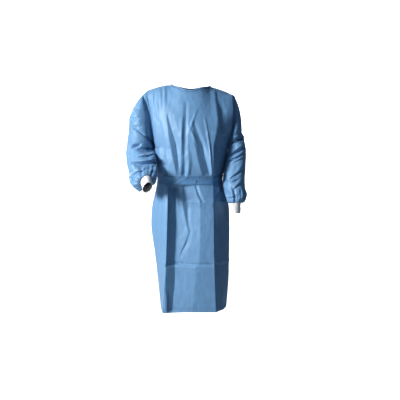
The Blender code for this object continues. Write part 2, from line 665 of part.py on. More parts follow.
def make_knot():
    """The knot of the belt at the centre back, a rounded lump with a flat side on the belt."""
    wide, deep, high = KNOT_SIZE
    belt_middle = BELT_TOP_Z - BELT_WIDTH / 2
    slope = (belt_face(BELT_TOP_Z) - belt_face(BELT_TOP_Z - BELT_WIDTH)) / BELT_WIDTH
    mesh = bmesh.new()
    bmesh.ops.create_uvsphere(mesh, u_segments=16, v_segments=9, radius=1)
    gaps = []
    for v in mesh.verts:
        x, y, z = (math.copysign(abs(c) ** KNOT_SQUARENESS, c) for c in v.co)
        height = z * high / 2
        v.co = (x * wide / 2, max(y, KNOT_FLAT) * deep / 2 + slope * height, belt_middle + height)
        gaps.append(v.co.y - belt_face(v.co.z))
    for v in mesh.verts:
        v.co.y += SEAM_GAP - min(gaps)
    bmesh.ops.triangulate(mesh, faces=mesh.faces)
    bmesh.ops.recalc_face_normals(mesh, faces=mesh.faces)
    data = bpy.data.meshes.new("belt_knot")
    mesh.to_mesh(data)
    mesh.free()
    data.shade_smooth()
    data.materials.append(material(BELT_BLUE))
    bpy.context.collection.objects.link(bpy.data.objects.new("belt_knot", data))


def make_tail(tail):
    """One hanging end of the belt, from under the knot."""
    belt_middle = BELT_TOP_Z - BELT_WIDTH / 2
    top_z = belt_middle - KNOT_SIZE[2] / 2 - SEAM_GAP
    rows, columns = 12, 3
    along = np.linspace(0, 1, rows)
    across = np.linspace(-0.5, 0.5, columns)
    points = np.zeros((rows, columns, 3))
    for i, t in enumerate(along):
        width = TAIL_WIDTH * (0.50 + 0.50 * float(ease(t / 0.25)))
        turn = tail.twist * float(ease((t - 0.15) / 0.6))
        leaning = tail.lean * (1 - 0.3 * t) + math.copysign(TAIL_SPREAD, tail.lean)
        x = math.copysign(TAIL_ROOT, tail.lean) + leaning * tail.length * t
        z = top_z - tail.length * t
        surface = float(section("back", z)) * float(outline_depth(x / float(section("right", z))))
        y = surface + TAIL_CLEARANCE + tail.lean * 0.03 * math.sin(4 * t)
        for j, w in enumerate(across):
            cup = 0.0035 * (1 - 4 * w * w)
            points[i, j] = (x + w * width * math.cos(turn), y + cup + w * width * math.sin(turn), z)
    facing = -grid_normals(points)
    solid(tail.name, points + facing * TAIL_WALL, points, BELT_BLUE)


def make_fastener(whole):
    """The two halves of the hook and loop fastener, between the back panels just below the neckline."""
    facing = -grid_normals(whole)
    centre = SIDE_STEPS + 1 + BACK_NECK_STEPS
    columns = slice(centre - 1, centre + 2)
    top, low = whole[0, columns], whole[1, columns]
    out = unit(facing[0, columns] + facing[1, columns])
    patch = np.array([top + (low - top) * t for t in (FASTENER_TOP, FASTENER_LOW)])
    hook = -WALL - SEAM_GAP
    loop = -LAP_DEPTH + SEAM_GAP + FASTENER_WALL
    for name, level in (("fastener_hook", hook), ("fastener_loop", loop)):
        solid(name, patch + out * level, patch + out * (level - FASTENER_WALL), FASTENER_GREY)


def make_binding(front, back_right, back_left):
    """The tape that binds the neckline, from the end of the under panel to the end of the upper one."""
    side = SIDE_STEPS + 1
    runs = (back_left[:, :-side], front[:, side:-side][:, ::-1][:, 1:-1], back_right[:, side:])
    top = np.concatenate([run[0] for run in runs])
    below = np.concatenate([run[1] for run in runs])
    rising = unit(unit(top - below) + np.array([0, 0, 0.9]))
    facing = unit(np.cross(unit(np.gradient(top, axis=0)), rising))
    from_middle = top * np.array([1, 1, 0])
    facing *= np.sign((facing * from_middle).sum(axis=1, keepdims=True))
    start = top + rising * BINDING_GAP
    levels = [start, start + rising * BINDING_WIDTH / 2, start + rising * BINDING_WIDTH]
    outer = np.array([p + facing * BINDING_WALL / 2 for p in levels])
    inner = np.array([p - facing * BINDING_WALL / 2 for p in levels])
    solid("neck_binding", outer, inner, BINDING_BLUE)


def shared(*normals):
    """The direction that two or more walls share at their seam, long enough to keep their thickness."""
    total = unit(sum(normals))
    stretch = np.minimum(1 / np.maximum((total * normals[0]).sum(axis=-1, keepdims=True), 0.5), 1.5)
    return total * stretch


def make_gown():
    plain_front, plain_back = front_grid(), back_grid()
    front = folded(plain_front, FRONT_FOLDS)
    right, left = back_panels(plain_back)
    front_out = grid_normals(front)
    right_out = -grid_normals(right)
    left_out = -grid_normals(left)

    for edge, back_edge, back_out in ((0, 0, right_out), (-1, -1, left_out)):
        both = shared(front_out[YOKE_ROWS:, edge], back_out[YOKE_ROWS:, back_edge])
        front_out[YOKE_ROWS:, edge] = both
        back_out[YOKE_ROWS:, back_edge] = both
    seam = SIDE_STEPS + 2
    for front_run, back_run, back_out in (
        (slice(0, seam), slice(0, seam), right_out),
        (slice(-seam, None), slice(-seam, None), left_out),
    ):
        both = shared(front_out[0, front_run], back_out[0, back_run])
        front_out[0, front_run] = both
        back_out[0, back_run] = both

    walls = {"front": (front, front_out), "back_right": (right, right_out), "back_left": (left, left_out)}
    for side, edge, back_name, rings, cuff, folds in (
        ("right", 0, "back_right", RIGHT_RINGS, RIGHT_CUFF, RIGHT_FOLDS),
        ("left", -1, "back_left", LEFT_RINGS, LEFT_CUFF, LEFT_FOLDS),
    ):
        back, back_out = walls[back_name]
        up = slice(YOKE_ROWS, None, -1)
        ring = np.concatenate([front[up, edge], back[1:YOKE_ROWS, edge]])
        body_out = np.concatenate([front_out[up, edge], back_out[1:YOKE_ROWS, edge]])
        _, _, points = sleeve_rings(rings, ring)
        mitre = shared(unit(body_out), outward(points)[0])
        inside_front = unit(front[up, edge] - front[up, 1 if edge == 0 else -2])
        inside_back = unit(back[1:YOKE_ROWS, edge] - back[1:YOKE_ROWS, 1 if edge == 0 else -2])
        away = np.concatenate([inside_front, inside_back])
        front_out[up, edge] = mitre[: YOKE_ROWS + 1]
        back_out[1:YOKE_ROWS, edge] = mitre[YOKE_ROWS + 1 :]
        back_out[0, edge] = mitre[YOKE_ROWS]
        back_out[YOKE_ROWS, edge] = mitre[0]
        make_sleeve(side, rings, cuff, folds, ring, mitre, away)
        make_cuff(side, cuff)

    for name, (points, facing) in walls.items():
        moved = drawn_in(points, name)
        solid(name, moved, moved - facing * WALL, CLOTH_BLUE)
    make_belt(plain_front, plain_back)
    make_binding(front, right, left)
    make_fastener(folded(plain_back, BACK_FOLDS, back=True))
    make_knot()
    for tail in TAILS:
        make_tail(tail)


def drawn_in(points, name):
    """The grid with each seam edge drawn back by half the seam gap."""
    moved = points.copy()
    half = SEAM_GAP * 0.6
    if name != "back_left":
        moved[:, 0] += unit(points[:, 1] - points[:, 0]) * half
    if name != "back_right":
        moved[:, -1] += unit(points[:, -2] - points[:, -1]) * half
    moved[0] += unit(points[1] - points[0]) * half
    return moved


def main():
    for thing in list(bpy.data.objects):
        bpy.data.objects.remove(thing)
    make_gown()


main()
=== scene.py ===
import math
from collections import namedtuple

import bmesh
import bpy
import numpy as np
from mathutils import Matrix, Vector


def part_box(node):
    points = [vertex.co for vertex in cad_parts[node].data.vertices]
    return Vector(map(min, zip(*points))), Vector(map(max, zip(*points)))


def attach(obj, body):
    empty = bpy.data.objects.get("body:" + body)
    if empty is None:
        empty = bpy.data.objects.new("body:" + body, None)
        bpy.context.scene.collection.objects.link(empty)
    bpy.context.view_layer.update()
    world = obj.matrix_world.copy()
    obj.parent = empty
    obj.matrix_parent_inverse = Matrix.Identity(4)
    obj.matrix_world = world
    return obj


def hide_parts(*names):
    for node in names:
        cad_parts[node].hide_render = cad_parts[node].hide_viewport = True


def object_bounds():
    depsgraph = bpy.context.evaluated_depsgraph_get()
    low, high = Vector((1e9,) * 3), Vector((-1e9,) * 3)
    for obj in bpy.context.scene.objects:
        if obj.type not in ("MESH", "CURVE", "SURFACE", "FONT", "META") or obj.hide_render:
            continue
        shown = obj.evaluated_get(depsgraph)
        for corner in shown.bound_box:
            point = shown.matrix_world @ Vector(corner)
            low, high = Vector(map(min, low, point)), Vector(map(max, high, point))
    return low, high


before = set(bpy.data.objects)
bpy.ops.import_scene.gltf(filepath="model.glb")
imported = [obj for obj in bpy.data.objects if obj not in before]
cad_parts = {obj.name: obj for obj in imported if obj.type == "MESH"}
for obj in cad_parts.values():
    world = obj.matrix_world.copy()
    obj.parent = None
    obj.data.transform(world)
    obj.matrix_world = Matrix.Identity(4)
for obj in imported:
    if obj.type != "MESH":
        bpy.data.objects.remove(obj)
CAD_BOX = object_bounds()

bl_info = {
    "name": "Surgical gown",
    "version": (1, 0, 0),
    "blender": (4, 5, 0),
    "location": "View3D > Sidebar > Gown",
    "description": "Blue non-woven gown with knitted cuffs and a tied belt, in the shape that it has when worn",
    "category": "Add Mesh",
}

ARMPIT_Z = -0.300
BELT_TOP_Z = -0.441
BELT_WIDTH = 0.042
BELT_MIDDLE_Z = BELT_TOP_Z - BELT_WIDTH / 2
HEM_Z = -1.106
HEM_WAVE = 0.005
FLOOR_Z = -1.565

# Grid steps of the dressed cloth
YOKE_ROWS = 66
CHEST_ROWS = 28
BELT_ROWS = 10
SKIRT_ROWS = 150
SIDE_STEPS = 24
MIDDLE_STEPS = 104
BACK_NECK_STEPS = 14
OVERLAP_STEPS = 10
SLEEVE_ROWS = 160
SLEEVE_COLUMNS = 160
END_ROWS = 10

# Shape of a level section: |x / width| ** WIDE + |y / depth| ** DEEP = 1
WIDE, DEEP = 2.4, 2.3

NECK_HALF = 0.096
NECK_FRONT = 0.084
NECK_BACK = 0.072
CREASE_AT_SHOULDER = 0.116
LAP_DEPTH = 0.0040

# Level sections of the body from the armpit to the hem: half widths on the wearer's two sides, depths, and
# how square each pressed crease stands
Section = namedtuple("Section", "z right left front back crease_right crease_left pressed_right pressed_left")
SECTIONS = (
    Section(-0.300, 0.180, 0.185, 0.128, 0.120, 0.116, 0.110, 0.10, 0.65),
    Section(-0.370, 0.177, 0.176, 0.131, 0.114, 0.115, 0.110, 0.15, 0.80),
    Section(-0.425, 0.172, 0.163, 0.125, 0.103, 0.114, 0.109, 0.15, 0.70),
    Section(-0.462, 0.166, 0.156, 0.112, 0.094, 0.111, 0.109, 0.10, 0.35),
    Section(-0.500, 0.173, 0.164, 0.116, 0.101, 0.110, 0.109, 0.30, 0.50),
    Section(-0.590, 0.193, 0.188, 0.126, 0.122, 0.111, 0.111, 0.80, 0.80),
    Section(-0.680, 0.199, 0.192, 0.131, 0.134, 0.114, 0.112, 0.95, 0.95),
    Section(-0.825, 0.182, 0.191, 0.134, 0.140, 0.120, 0.114, 1.00, 1.00),
    Section(-0.960, 0.166, 0.188, 0.134, 0.142, 0.128, 0.118, 1.00, 1.00),
    Section(-1.106, 0.152, 0.177, 0.132, 0.146, 0.137, 0.124, 1.00, 1.00),
)

# Height of the shoulder line, and of the dome that the neckline is cut from, across the body
Shoulder = namedtuple("Shoulder", "x z")
SHOULDER_LINE = (
    Shoulder(-0.2165, -0.0230),
    Shoulder(-0.1700, -0.0070),
    Shoulder(-0.1300, 0.0030),
    Shoulder(-0.0960, 0.0070),
    Shoulder(-0.0500, 0.0420),
    Shoulder(0.0000, 0.0560),
    Shoulder(0.0500, 0.0420),
    Shoulder(0.0960, -0.0020),
    Shoulder(0.1300, -0.0130),
    Shoulder(0.1800, -0.0320),
    Shoulder(0.2165, -0.0500),
)

# Armhole: x of its edge on each side and the share of the body's width there, from the armpit (rise 0) to
# the shoulder (rise 1)
Armhole = namedtuple("Armhole", "rise right left share")
ARMHOLE = (
    Armhole(0.00, 0.180, 0.1850, 1.000),
    Armhole(0.15, 0.184, 0.1930, 0.962),
    Armhole(0.35, 0.186, 0.1990, 0.925),
    Armhole(0.60, 0.187, 0.2040, 0.900),
    Armhole(0.80, 0.196, 0.2100, 0.905),
    Armhole(1.00, 0.2165, 0.2165, 0.930),
)

# Sleeves: a point on the outer side and one on the inner side of each ring, and half its depth across them
Ring = namedtuple("Ring", "outer_x outer_y outer_z inner_x inner_y inner_z depth")
LEFT_RINGS = (
    Ring(0.2165, 0.000, -0.050, 0.1850, 0.000, -0.300, 0.058),
    Ring(0.2360, 0.001, -0.099, 0.1870, 0.000, -0.302, 0.062),
    Ring(0.2475, 0.003, -0.157, 0.1888, -0.001, -0.305, 0.066),
    Ring(0.2520, 0.006, -0.215, 0.1896, -0.004, -0.311, 0.067),
    Ring(0.2640, 0.008, -0.270, 0.1888, -0.011, -0.325, 0.066),
    Ring(0.2705, 0.006, -0.325, 0.1825, -0.020, -0.350, 0.063),
    Ring(0.2690, -0.006, -0.385, 0.1720, -0.036, -0.390, 0.060),
    Ring(0.2660, -0.026, -0.445, 0.1590, -0.056, -0.445, 0.056),
    Ring(0.2650, -0.048, -0.500, 0.1620, -0.072, -0.500, 0.053),
    Ring(0.2730, -0.063, -0.542, 0.1760, -0.080, -0.545, 0.051),
    Ring(0.2640, -0.070, -0.566, 0.1840, -0.082, -0.568, 0.046),
)
RIGHT_RINGS = (
    Ring(-0.2165, 0.000, -0.023, -0.1800, 0.000, -0.300, 0.060),
    Ring(-0.2505, 0.000, -0.055, -0.1830, -0.001, -0.302, 0.066),
    Ring(-0.2830, 0.003, -0.102, -0.1860, -0.004, -0.304, 0.070),
    Ring(-0.3060, 0.009, -0.160, -0.1892, -0.009, -0.306, 0.071),
    Ring(-0.3095, 0.022, -0.225, -0.1910, -0.020, -0.309, 0.069),
    Ring(-0.3135, 0.042, -0.290, -0.1930, -0.037, -0.314, 0.066),
    Ring(-0.3150, 0.050, -0.345, -0.1935, -0.060, -0.323, 0.064),
    Ring(-0.3110, 0.028, -0.393, -0.1880, -0.088, -0.340, 0.062),
    Ring(-0.3030, -0.015, -0.433, -0.1790, -0.116, -0.363, 0.060),
    Ring(-0.2930, -0.065, -0.465, -0.1730, -0.143, -0.388, 0.057),
    Ring(-0.2800, -0.114, -0.491, -0.1710, -0.166, -0.408, 0.053),
    Ring(-0.2640, -0.150, -0.503, -0.1760, -0.184, -0.428, 0.047),
)

# A cuff: the middle of its seam, the way that it points and the way of its wide axis
Cuff = namedtuple("Cuff", "centre axis wide")
LEFT_CUFF = Cuff((0.2210, -0.077, -0.566), (0.000, -0.080, -1.000), (0.0, 1.0, 0.0))
RIGHT_CUFF = Cuff((-0.2130, -0.178, -0.459), (0.195, -0.830, -0.530), (-0.35, 0.25, -0.90))
CUFF_HALF_WIDE = 0.0325
CUFF_HALF_NARROW = 0.0235
CUFF_LENGTH = 0.058

# Small pieces, as in the part's source
BINDING_WIDTH = 0.007
BINDING_GAP = 0.0009
FASTENER_TOP, FASTENER_LOW = 0.004, 0.030  # metres below the neckline
HOOK_DEPTH, LOOP_DEPTH = 0.0012, 0.0026  # metres below the outside of the upper panel
KNOT_SIZE = (0.040, 0.021, 0.036)
TAIL_WIDTH = 0.036
TAIL_ROOT = 0.0105
TAIL_SPREAD = 0.09
TAIL_CLEARANCE = 0.0118
Tail = namedtuple("Tail", "name lean length twist")
TAILS = (
    Tail("belt_tail_right", -0.10, 0.245, 0.30),
    Tail("belt_tail_left", 0.13, 0.215, -0.25),
)
HEM_TURN = 0.020  # width of the cloth turned up inside the hem
STITCH_LENGTH = 0.0032
STITCH_STEP = 0.0046
STITCH_RADIUS = 0.00032
BELT_STAND = 0.0036  # how far the belt's outside stands off the front
TACK = ((0.0145, -0.4565), (0.0195, -0.4735), (0.0255, -0.4570))  # corners of the bar tack on the belt's front

# Folds as seen from the front or from behind. Each bends from its first point through its middle one to its
# last. before and after are its widths on its two sides at its start: toward the wearer's right and left on a
# fold that runs down, below and above it on one that runs across. taper is how much wider it is at its end.
# Heights are in millimetres, a valley's below nought. sharp is 0 for a soft roll and 1 for a crisp one.
Fold = namedtuple("Fold", "x1 z1 x2 z2 x3 z3 h1 h2 h3 before after sharp taper", defaults=(1.0,))
FRONT_FOLDS = (
    # shoulder and armhole of the wearer's right side
    Fold(-0.166, -0.060, -0.164, -0.110, -0.160, -0.165, 2, 5, 4, 0.012, 0.010, 0.8),
    Fold(-0.128, -0.014, -0.127, -0.050, -0.126, -0.110, 1, 3, 1, 0.010, 0.008, 0.9),
    Fold(-0.117, -0.012, -0.115, -0.045, -0.114, -0.085, -1, -3, -1, 0.009, 0.010, 0.7),
    # chest, running down to the belt
    Fold(-0.042, -0.166, -0.046, -0.300, -0.051, -0.436, 2, 5, 6, 0.014, 0.010, 0.9),
    Fold(-0.022, -0.086, -0.026, -0.218, -0.028, -0.330, -2, -6, -4, 0.015, 0.016, 0.5),
    Fold(-0.010, -0.326, -0.008, -0.380, -0.014, -0.436, 1, 5, 5, 0.011, 0.014, 0.8),
    Fold(0.028, -0.120, 0.012, -0.172, -0.006, -0.220, 1, 4, 2, 0.010, 0.009, 0.8),
    Fold(-0.010, -0.205, 0.014, -0.245, 0.032, -0.285, 2, 4, 1, 0.010, 0.009, 0.8),
    Fold(0.202, -0.052, 0.198, -0.130, 0.191, -0.225, 10, 18, 10, 0.044, 0.009, 1.0),
    Fold(0.070, -0.166, 0.092, -0.300, 0.102, -0.436, 2, 5, 4, 0.010, 0.006, 0.9),
    # hips
    Fold(0.026, -0.490, 0.041, -0.532, 0.055, -0.563, -4, -7, -3, 0.008, 0.014, 0.9),
    Fold(0.118, -0.490, 0.140, -0.512, 0.165, -0.548, 4, 7, 3, 0.012, 0.012, 0.9),
    Fold(0.122, -0.575, 0.132, -0.530, 0.160, -0.495, -3, -7, -4, 0.010, 0.012, 0.8),
    Fold(-0.135, -0.490, -0.145, -0.540, -0.160, -0.600, -5, -5, -1, 0.014, 0.014, 0.5),
    Fold(-0.118, -1.000, -0.116, -1.050, -0.118, -1.120, 0, 4, 5, 0.014, 0.010, 0.9),
    Fold(0.146, -0.960, 0.152, -1.020, 0.156, -1.110, 0, 5, 8, 0.018, 0.016, 0.6),
    # lines that the packing pressed in
    Fold(-0.116, -0.166, -0.078, -0.163, -0.038, -0.166, 1, 2, 1, 0.012, 0.006, 0.9),
    Fold(0.110, -0.236, 0.150, -0.234, 0.196, -0.236, 2, 3, 2, 0.014, 0.010, 1.0),
    Fold(-0.016, -0.566, 0.040, -0.563, 0.108, -0.566, 3, 5, 3, 0.030, 0.010, 1.0),
    Fold(0.112, -0.566, 0.150, -0.567, 0.188, -0.570, 2, 3, 2, 0.014, 0.010, 1.0),
    Fold(-0.122, -0.874, -0.060, -0.868, -0.008, -0.872, -4, -6, -5, 0.014, 0.008, 1.0),
    Fold(0.006, -0.872, 0.060, -0.870, 0.122, -0.870, -5, -6, -5, 0.014, 0.008, 1.0),
    Fold(0.122, -0.866, 0.155, -0.864, 0.190, -0.868, 3, 4, 3, 0.016, 0.016, 1.0),
    Fold(-0.200, -0.872, -0.160, -0.870, -0.126, -0.872, 1, 2, 2, 0.014, 0.014, 1.0),
)

# Pleats as seen from the front. Each has a ridge from its first point through its middle one to its last. The
# cloth falls steeply to the left of the way that the ridge runs, over the widths given in millimetres at those
# points, then comes back out over after. On its other side it rises to the ridge over before. lift is the
# share of the fall that stands above the plain cloth.
Pleat = namedtuple("Pleat", "x1 z1 x2 z2 x3 z3 w1 w2 w3 steep before after lift", defaults=(0.5,))
FRONT_PLEATS = (
    # shoulder, armhole and side of the wearer's right
    Pleat(-0.184, -0.030, -0.184, -0.100, -0.180, -0.165, 4, 8, 10, 0.8, 0.010, 0.010, 0.2),
    Pleat(-0.149, -0.012, -0.147, -0.050, -0.143, -0.110, 6, 10, 3, 0.45, 0.020, 0.010, 0.3),
    Pleat(-0.172, -0.160, -0.160, -0.252, -0.141, -0.436, 10, 19, 20, 0.55, 0.020, 0.012, 0.3),
    # chest
    Pleat(-0.116, -0.150, -0.099, -0.290, -0.067, -0.436, 5, 27, 19, 0.56, 0.020, 0.032, 0.2),
    Pleat(-0.036, -0.322, -0.040, -0.380, -0.046, -0.436, 2, 12, 16, 0.75, 0.010, 0.012, 0.2),
    Pleat(0.006, -0.160, 0.022, -0.300, 0.056, -0.436, 3, 38, 36, 0.38, 0.024, 0.017, 0.25),
    Pleat(0.118, -0.026, 0.125, -0.130, 0.150, -0.228, 8, 26, 5, 0.42, 0.024, 0.022, 0.35),
    Pleat(0.113, -0.290, 0.118, -0.360, 0.118, -0.436, 4, 12, 16, 0.5, 0.010, 0.016, 0.2),
    # hips: the broad hollow beside the right crease, then the tongue below the belt
    Pleat(-0.120, -0.480, -0.118, -0.680, -0.120, -0.865, 40, 46, 40, 0.76, 0.020, 0.120, 0.0),
    Pleat(-0.120, -0.879, -0.122, -0.960, -0.126, -1.100, 42, 44, 34, 0.50, 0.020, 0.100, 0.0),
    Pleat(-0.046, -0.488, -0.040, -0.580, -0.012, -0.705, 14, 25, 5, 0.58, 0.016, 0.014, 0.5),
    Pleat(-0.004, -0.700, -0.032, -0.768, -0.056, -0.830, 3, 12, 2, 0.50, 0.030, 0.018, 0.4),
)
BACK_FOLDS = (
    Fold(0.150, -0.070, 0.140, -0.180, 0.118, -0.430, -1, -6, -9, 0.020, 0.022, 0.5),
    Fold(0.090, -0.170, 0.084, -0.300, 0.070, -0.430, 0, -5, -9, 0.018, 0.016, 0.5),
    Fold(0.056, -0.300, 0.050, -0.370, 0.044, -0.432, 0, 3, 4, 0.010, 0.010, 0.6),
    Fold(-0.070, -0.150, -0.078, -0.300, -0.080, -0.430, -1, -5, -9, 0.022, 0.018, 0.5),
    Fold(-0.110, -0.200, -0.108, -0.320, -0.100, -0.430, 0, 4, 5, 0.012, 0.012, 0.6),
    Fold(-0.150, -0.060, -0.146, -0.180, -0.130, -0.430, -1, -6, -8, 0.020, 0.022, 0.5),
    Fold(-0.040, -0.486, -0.050, -0.640, -0.070, -0.900, -9, -7, -1, 0.018, 0.020, 0.5),
    Fold(-0.100, -0.486, -0.122, -0.640, -0.140, -0.860, -10, -8, -1, 0.020, 0.022, 0.5),
    Fold(0.100, -0.486, 0.120, -0.620, 0.140, -0.900, -11, -8, -1, 0.020, 0.024, 0.5),
    Fold(0.030, -0.486, 0.034, -0.580, 0.044, -0.700, -7, -4, 0, 0.014, 0.016, 0.5),
    Fold(-0.170, -0.560, -0.160, -0.800, -0.158, -1.140, 2, 6, 8, 0.030, 0.030, 0.6),
    Fold(0.170, -0.560, 0.165, -0.800, 0.165, -1.140, 2, 6, 8, 0.030, 0.030, 0.6),
    Fold(-0.190, -0.250, 0.000, -0.250, 0.190, -0.250, -1, -2, -1, 0.010, 0.010, 1.0),
    Fold(-0.190, -0.566, 0.000, -0.565, 0.190, -0.566, -2, -2, -2, 0.016, 0.016, 1.0),
    Fold(-0.190, -0.866, 0.000, -0.865, 0.190, -0.866, -2, -3, -2, 0.022, 0.022, 1.0),
)
RIGHT_SLEEVE_FRONT = (
    Fold(-0.318, -0.180, -0.334, -0.285, -0.322, -0.430, -14, -34, -20, 0.030, 0.050, 0.0),
    Fold(-0.216, -0.045, -0.200, -0.110, -0.192, -0.200, -3, -6, -6, 0.008, 0.006, 0.8),
    Fold(-0.190, -0.292, -0.184, -0.345, -0.176, -0.415, 4, 8, 3, 0.024, 0.024, 0.0),
    Fold(-0.310, -0.426, -0.292, -0.450, -0.276, -0.462, -5, -7, -3, 0.010, 0.010, 0.8),
)
RIGHT_SLEEVE_PLEATS = (
    Pleat(-0.242, -0.060, -0.226, -0.165, -0.222, -0.290, 12, 34, 30, 1.25, 0.070, 0.012, 0.55),
    Pleat(-0.292, -0.128, -0.252, -0.121, -0.216, -0.126, 4, 9, 4, 1.20, 0.020, 0.010),
    Pleat(-0.232, -0.143, -0.268, -0.152, -0.306, -0.153, 3, 9, 5, 2.00, 0.036, 0.018),
    Pleat(-0.229, -0.166, -0.258, -0.182, -0.292, -0.200, 20, 22, 6, 1.00, 0.018, 0.014, 0.6),
    Pleat(-0.298, -0.202, -0.240, -0.252, -0.184, -0.316, 8, 14, 24, 2.20, 0.050, 0.008, 0.4),
    Pleat(-0.222, -0.262, -0.264, -0.277, -0.308, -0.299, 8, 18, 16, 1.60, 0.034, 0.010, 0.25),
    Pleat(-0.184, -0.286, -0.226, -0.296, -0.266, -0.309, 40, 34, 5, 1.60, 0.020, 0.012, 0.12),
    Pleat(-0.176, -0.330, -0.216, -0.336, -0.254, -0.346, 10, 12, 3, 2.60, 0.014, 0.008, 0.25),
    Pleat(-0.172, -0.362, -0.234, -0.364, -0.288, -0.372, 20, 24, 10, 2.60, 0.020, 0.020, 0.20),
    Pleat(-0.182, -0.390, -0.230, -0.403, -0.282, -0.433, 8, 11, 5, 2.20, 0.016, 0.012, 0.35),
    Pleat(-0.184, -0.414, -0.222, -0.425, -0.258, -0.446, 12, 14, 5, 1.80, 0.014, 0.010, 0.35),
    Pleat(-0.292, -0.458, -0.272, -0.468, -0.246, -0.482, 6, 9, 5, 1.60, 0.010, 0.008, 0.5),
)
LEFT_SLEEVE_FRONT = (
    Fold(0.219, -0.058, 0.208, -0.160, 0.197, -0.285, -4, -6, -4, 0.004, 0.008, 0.9),
    Fold(0.192, -0.290, 0.182, -0.340, 0.172, -0.400, 4, 7, 2, 0.024, 0.024, 0.0),
    Fold(0.276, -0.232, 0.258, -0.228, 0.236, -0.232, -12, -7, -1, 0.010, 0.008, 0.8),
    Fold(0.276, -0.250, 0.252, -0.250, 0.222, -0.256, 6, 4, 1, 0.010, 0.010, 0.9),
    Fold(0.164, -0.440, 0.164, -0.460, 0.170, -0.480, -6, -12, -6, 0.014, 0.018, 0.3),
    Fold(0.186, -0.500, 0.206, -0.520, 0.232, -0.532, 2, 5, 2, 0.012, 0.010, 0.8),
)
LEFT_SLEEVE_PLEATS = (
    Pleat(0.212, -0.045, 0.204, -0.150, 0.198, -0.260, 40, 50, 48, 0.55, 0.004, 0.020, 0.1),
    Pleat(0.274, -0.236, 0.238, -0.246, 0.200, -0.262, 14, 24, 18, 1.30, 0.012, 0.008, 0.3),
    Pleat(0.272, -0.280, 0.230, -0.306, 0.184, -0.332, 12, 18, 12, 1.60, 0.012, 0.007, 0.35),
    Pleat(0.270, -0.318, 0.228, -0.340, 0.180, -0.362, 7, 13, 9, 1.60, 0.008, 0.006, 0.5),
    Pleat(0.262, -0.345, 0.240, -0.356, 0.208, -0.374, 5, 8, 3, 1.50, 0.008, 0.008, 0.6),
    Pleat(0.264, -0.376, 0.244, -0.404, 0.194, -0.446, 12, 13, 4, 1.50, 0.014, 0.010, 0.6),
    Pleat(0.262, -0.452, 0.238, -0.470, 0.212, -0.496, 8, 11, 4, 1.50, 0.012, 0.010, 0.6),
    Pleat(0.228, -0.456, 0.204, -0.461, 0.178, -0.460, 3, 8, 4, 1.50, 0.010, 0.008, 0.6),
    Pleat(0.210, -0.536, 0.196, -0.540, 0.178, -0.544, 4, 10, 6, 1.40, 0.010, 0.008, 0.6),
    Pleat(0.258, -0.330, 0.252, -0.420, 0.256, -0.500, 14, 24, 16, 1.00, 0.030, 0.010, 0.4),
    Pleat(0.266, -0.500, 0.250, -0.540, 0.243, -0.572, 8, 18, 10, 1.30, 0.016, 0.008, 0.5),
)
RIGHT_SLEEVE_BACK = (
    Fold(0.305, -0.230, 0.262, -0.250, 0.205, -0.290, -3, -9, -5, 0.012, 0.014, 0.6),
    Fold(0.310, -0.270, 0.268, -0.292, 0.215, -0.310, 2, 6, 3, 0.010, 0.011, 0.8),
    Fold(0.312, -0.320, 0.270, -0.338, 0.215, -0.330, -4, -10, -6, 0.012, 0.013, 0.6),
    Fold(0.290, -0.120, 0.255, -0.160, 0.225, -0.215, -1, -6, -3, 0.012, 0.012, 0.5),
    Fold(0.310, -0.375, 0.275, -0.380, 0.225, -0.365, -3, -8, -4, 0.010, 0.012, 0.6),
)
LEFT_SLEEVE_BACK = (
    Fold(-0.245, -0.180, -0.225, -0.220, -0.200, -0.262, -1, -6, -3, 0.012, 0.012, 0.5),
    Fold(-0.268, -0.275, -0.232, -0.305, -0.192, -0.330, -3, -9, -5, 0.012, 0.012, 0.6),
    Fold(-0.268, -0.310, -0.234, -0.335, -0.192, -0.352, 2, 5, 2, 0.010, 0.010, 0.8),
    Fold(-0.264, -0.385, -0.228, -0.398, -0.182, -0.402, -3, -8, -4, 0.011, 0.012, 0.6),
    Fold(-0.264, -0.450, -0.225, -0.462, -0.182, -0.452, -3, -7, -4, 0.011, 0.012, 0.6),
)
RIDGE_LIMIT = 0.009  # how far a sleeve's ridges stand out at most
END_FADE = 0.014  # distance beyond its end over which a fold dies away
CUFF_GATHERS = ((7, 0.0030, 0.4), (19, 0.0014, 1.7), (12, 0.0022, 3.1))


# Curves and grids


def smooth_curve(at, knots, values, level_start=False):
    """A smooth curve through a table's rows, read at the places asked for."""
    at = np.asarray(at, float)
    knots = np.asarray(knots, float)
    values = np.asarray(values, float)
    slopes = np.gradient(values, knots, axis=0)
    if level_start:
        slopes[0] = 0
    at = np.clip(at, knots[0], knots[-1])
    low = np.clip(np.searchsorted(knots, at) - 1, 0, len(knots) - 2)
    step = knots[low + 1] - knots[low]
    t = (at - knots[low]) / step
    if values.ndim > 1:
        t, step = t[..., None], step[..., None]
    rest = 1 - t
    return (
        (1 + 2 * t) * rest**2 * values[low]
        + t * rest**2 * step * slopes[low]
        + t**2 * (3 - 2 * t) * values[low + 1]
        - t**2 * rest * step * slopes[low + 1]
    )


def ease(t):
    t = np.clip(t, 0, 1)
    return t * t * (3 - 2 * t)


def unit(v):
    return v / np.maximum(np.linalg.norm(v, axis=-1, keepdims=True), 1e-12)


def column(table, name):
    return np.array([getattr(row, name) for row in table], float)


def section(name, z):
    return smooth_curve(-np.asarray(z, float), -column(SECTIONS, "z"), column(SECTIONS, name), level_start=True)


def dome_height(x):
    return smooth_curve(x, column(SHOULDER_LINE, "x"), column(SHOULDER_LINE, "z"))


def armhole(name, rise):
    return smooth_curve(rise, column(ARMHOLE, "rise"), column(ARMHOLE, name))


def outline_depth(share):
    return np.maximum(0, 1 - np.abs(share) ** WIDE) ** (1 / DEEP)


def angle_of(share):
    return np.arcsin(np.sign(share) * np.minimum(1, np.abs(share)) ** (WIDE / 2))


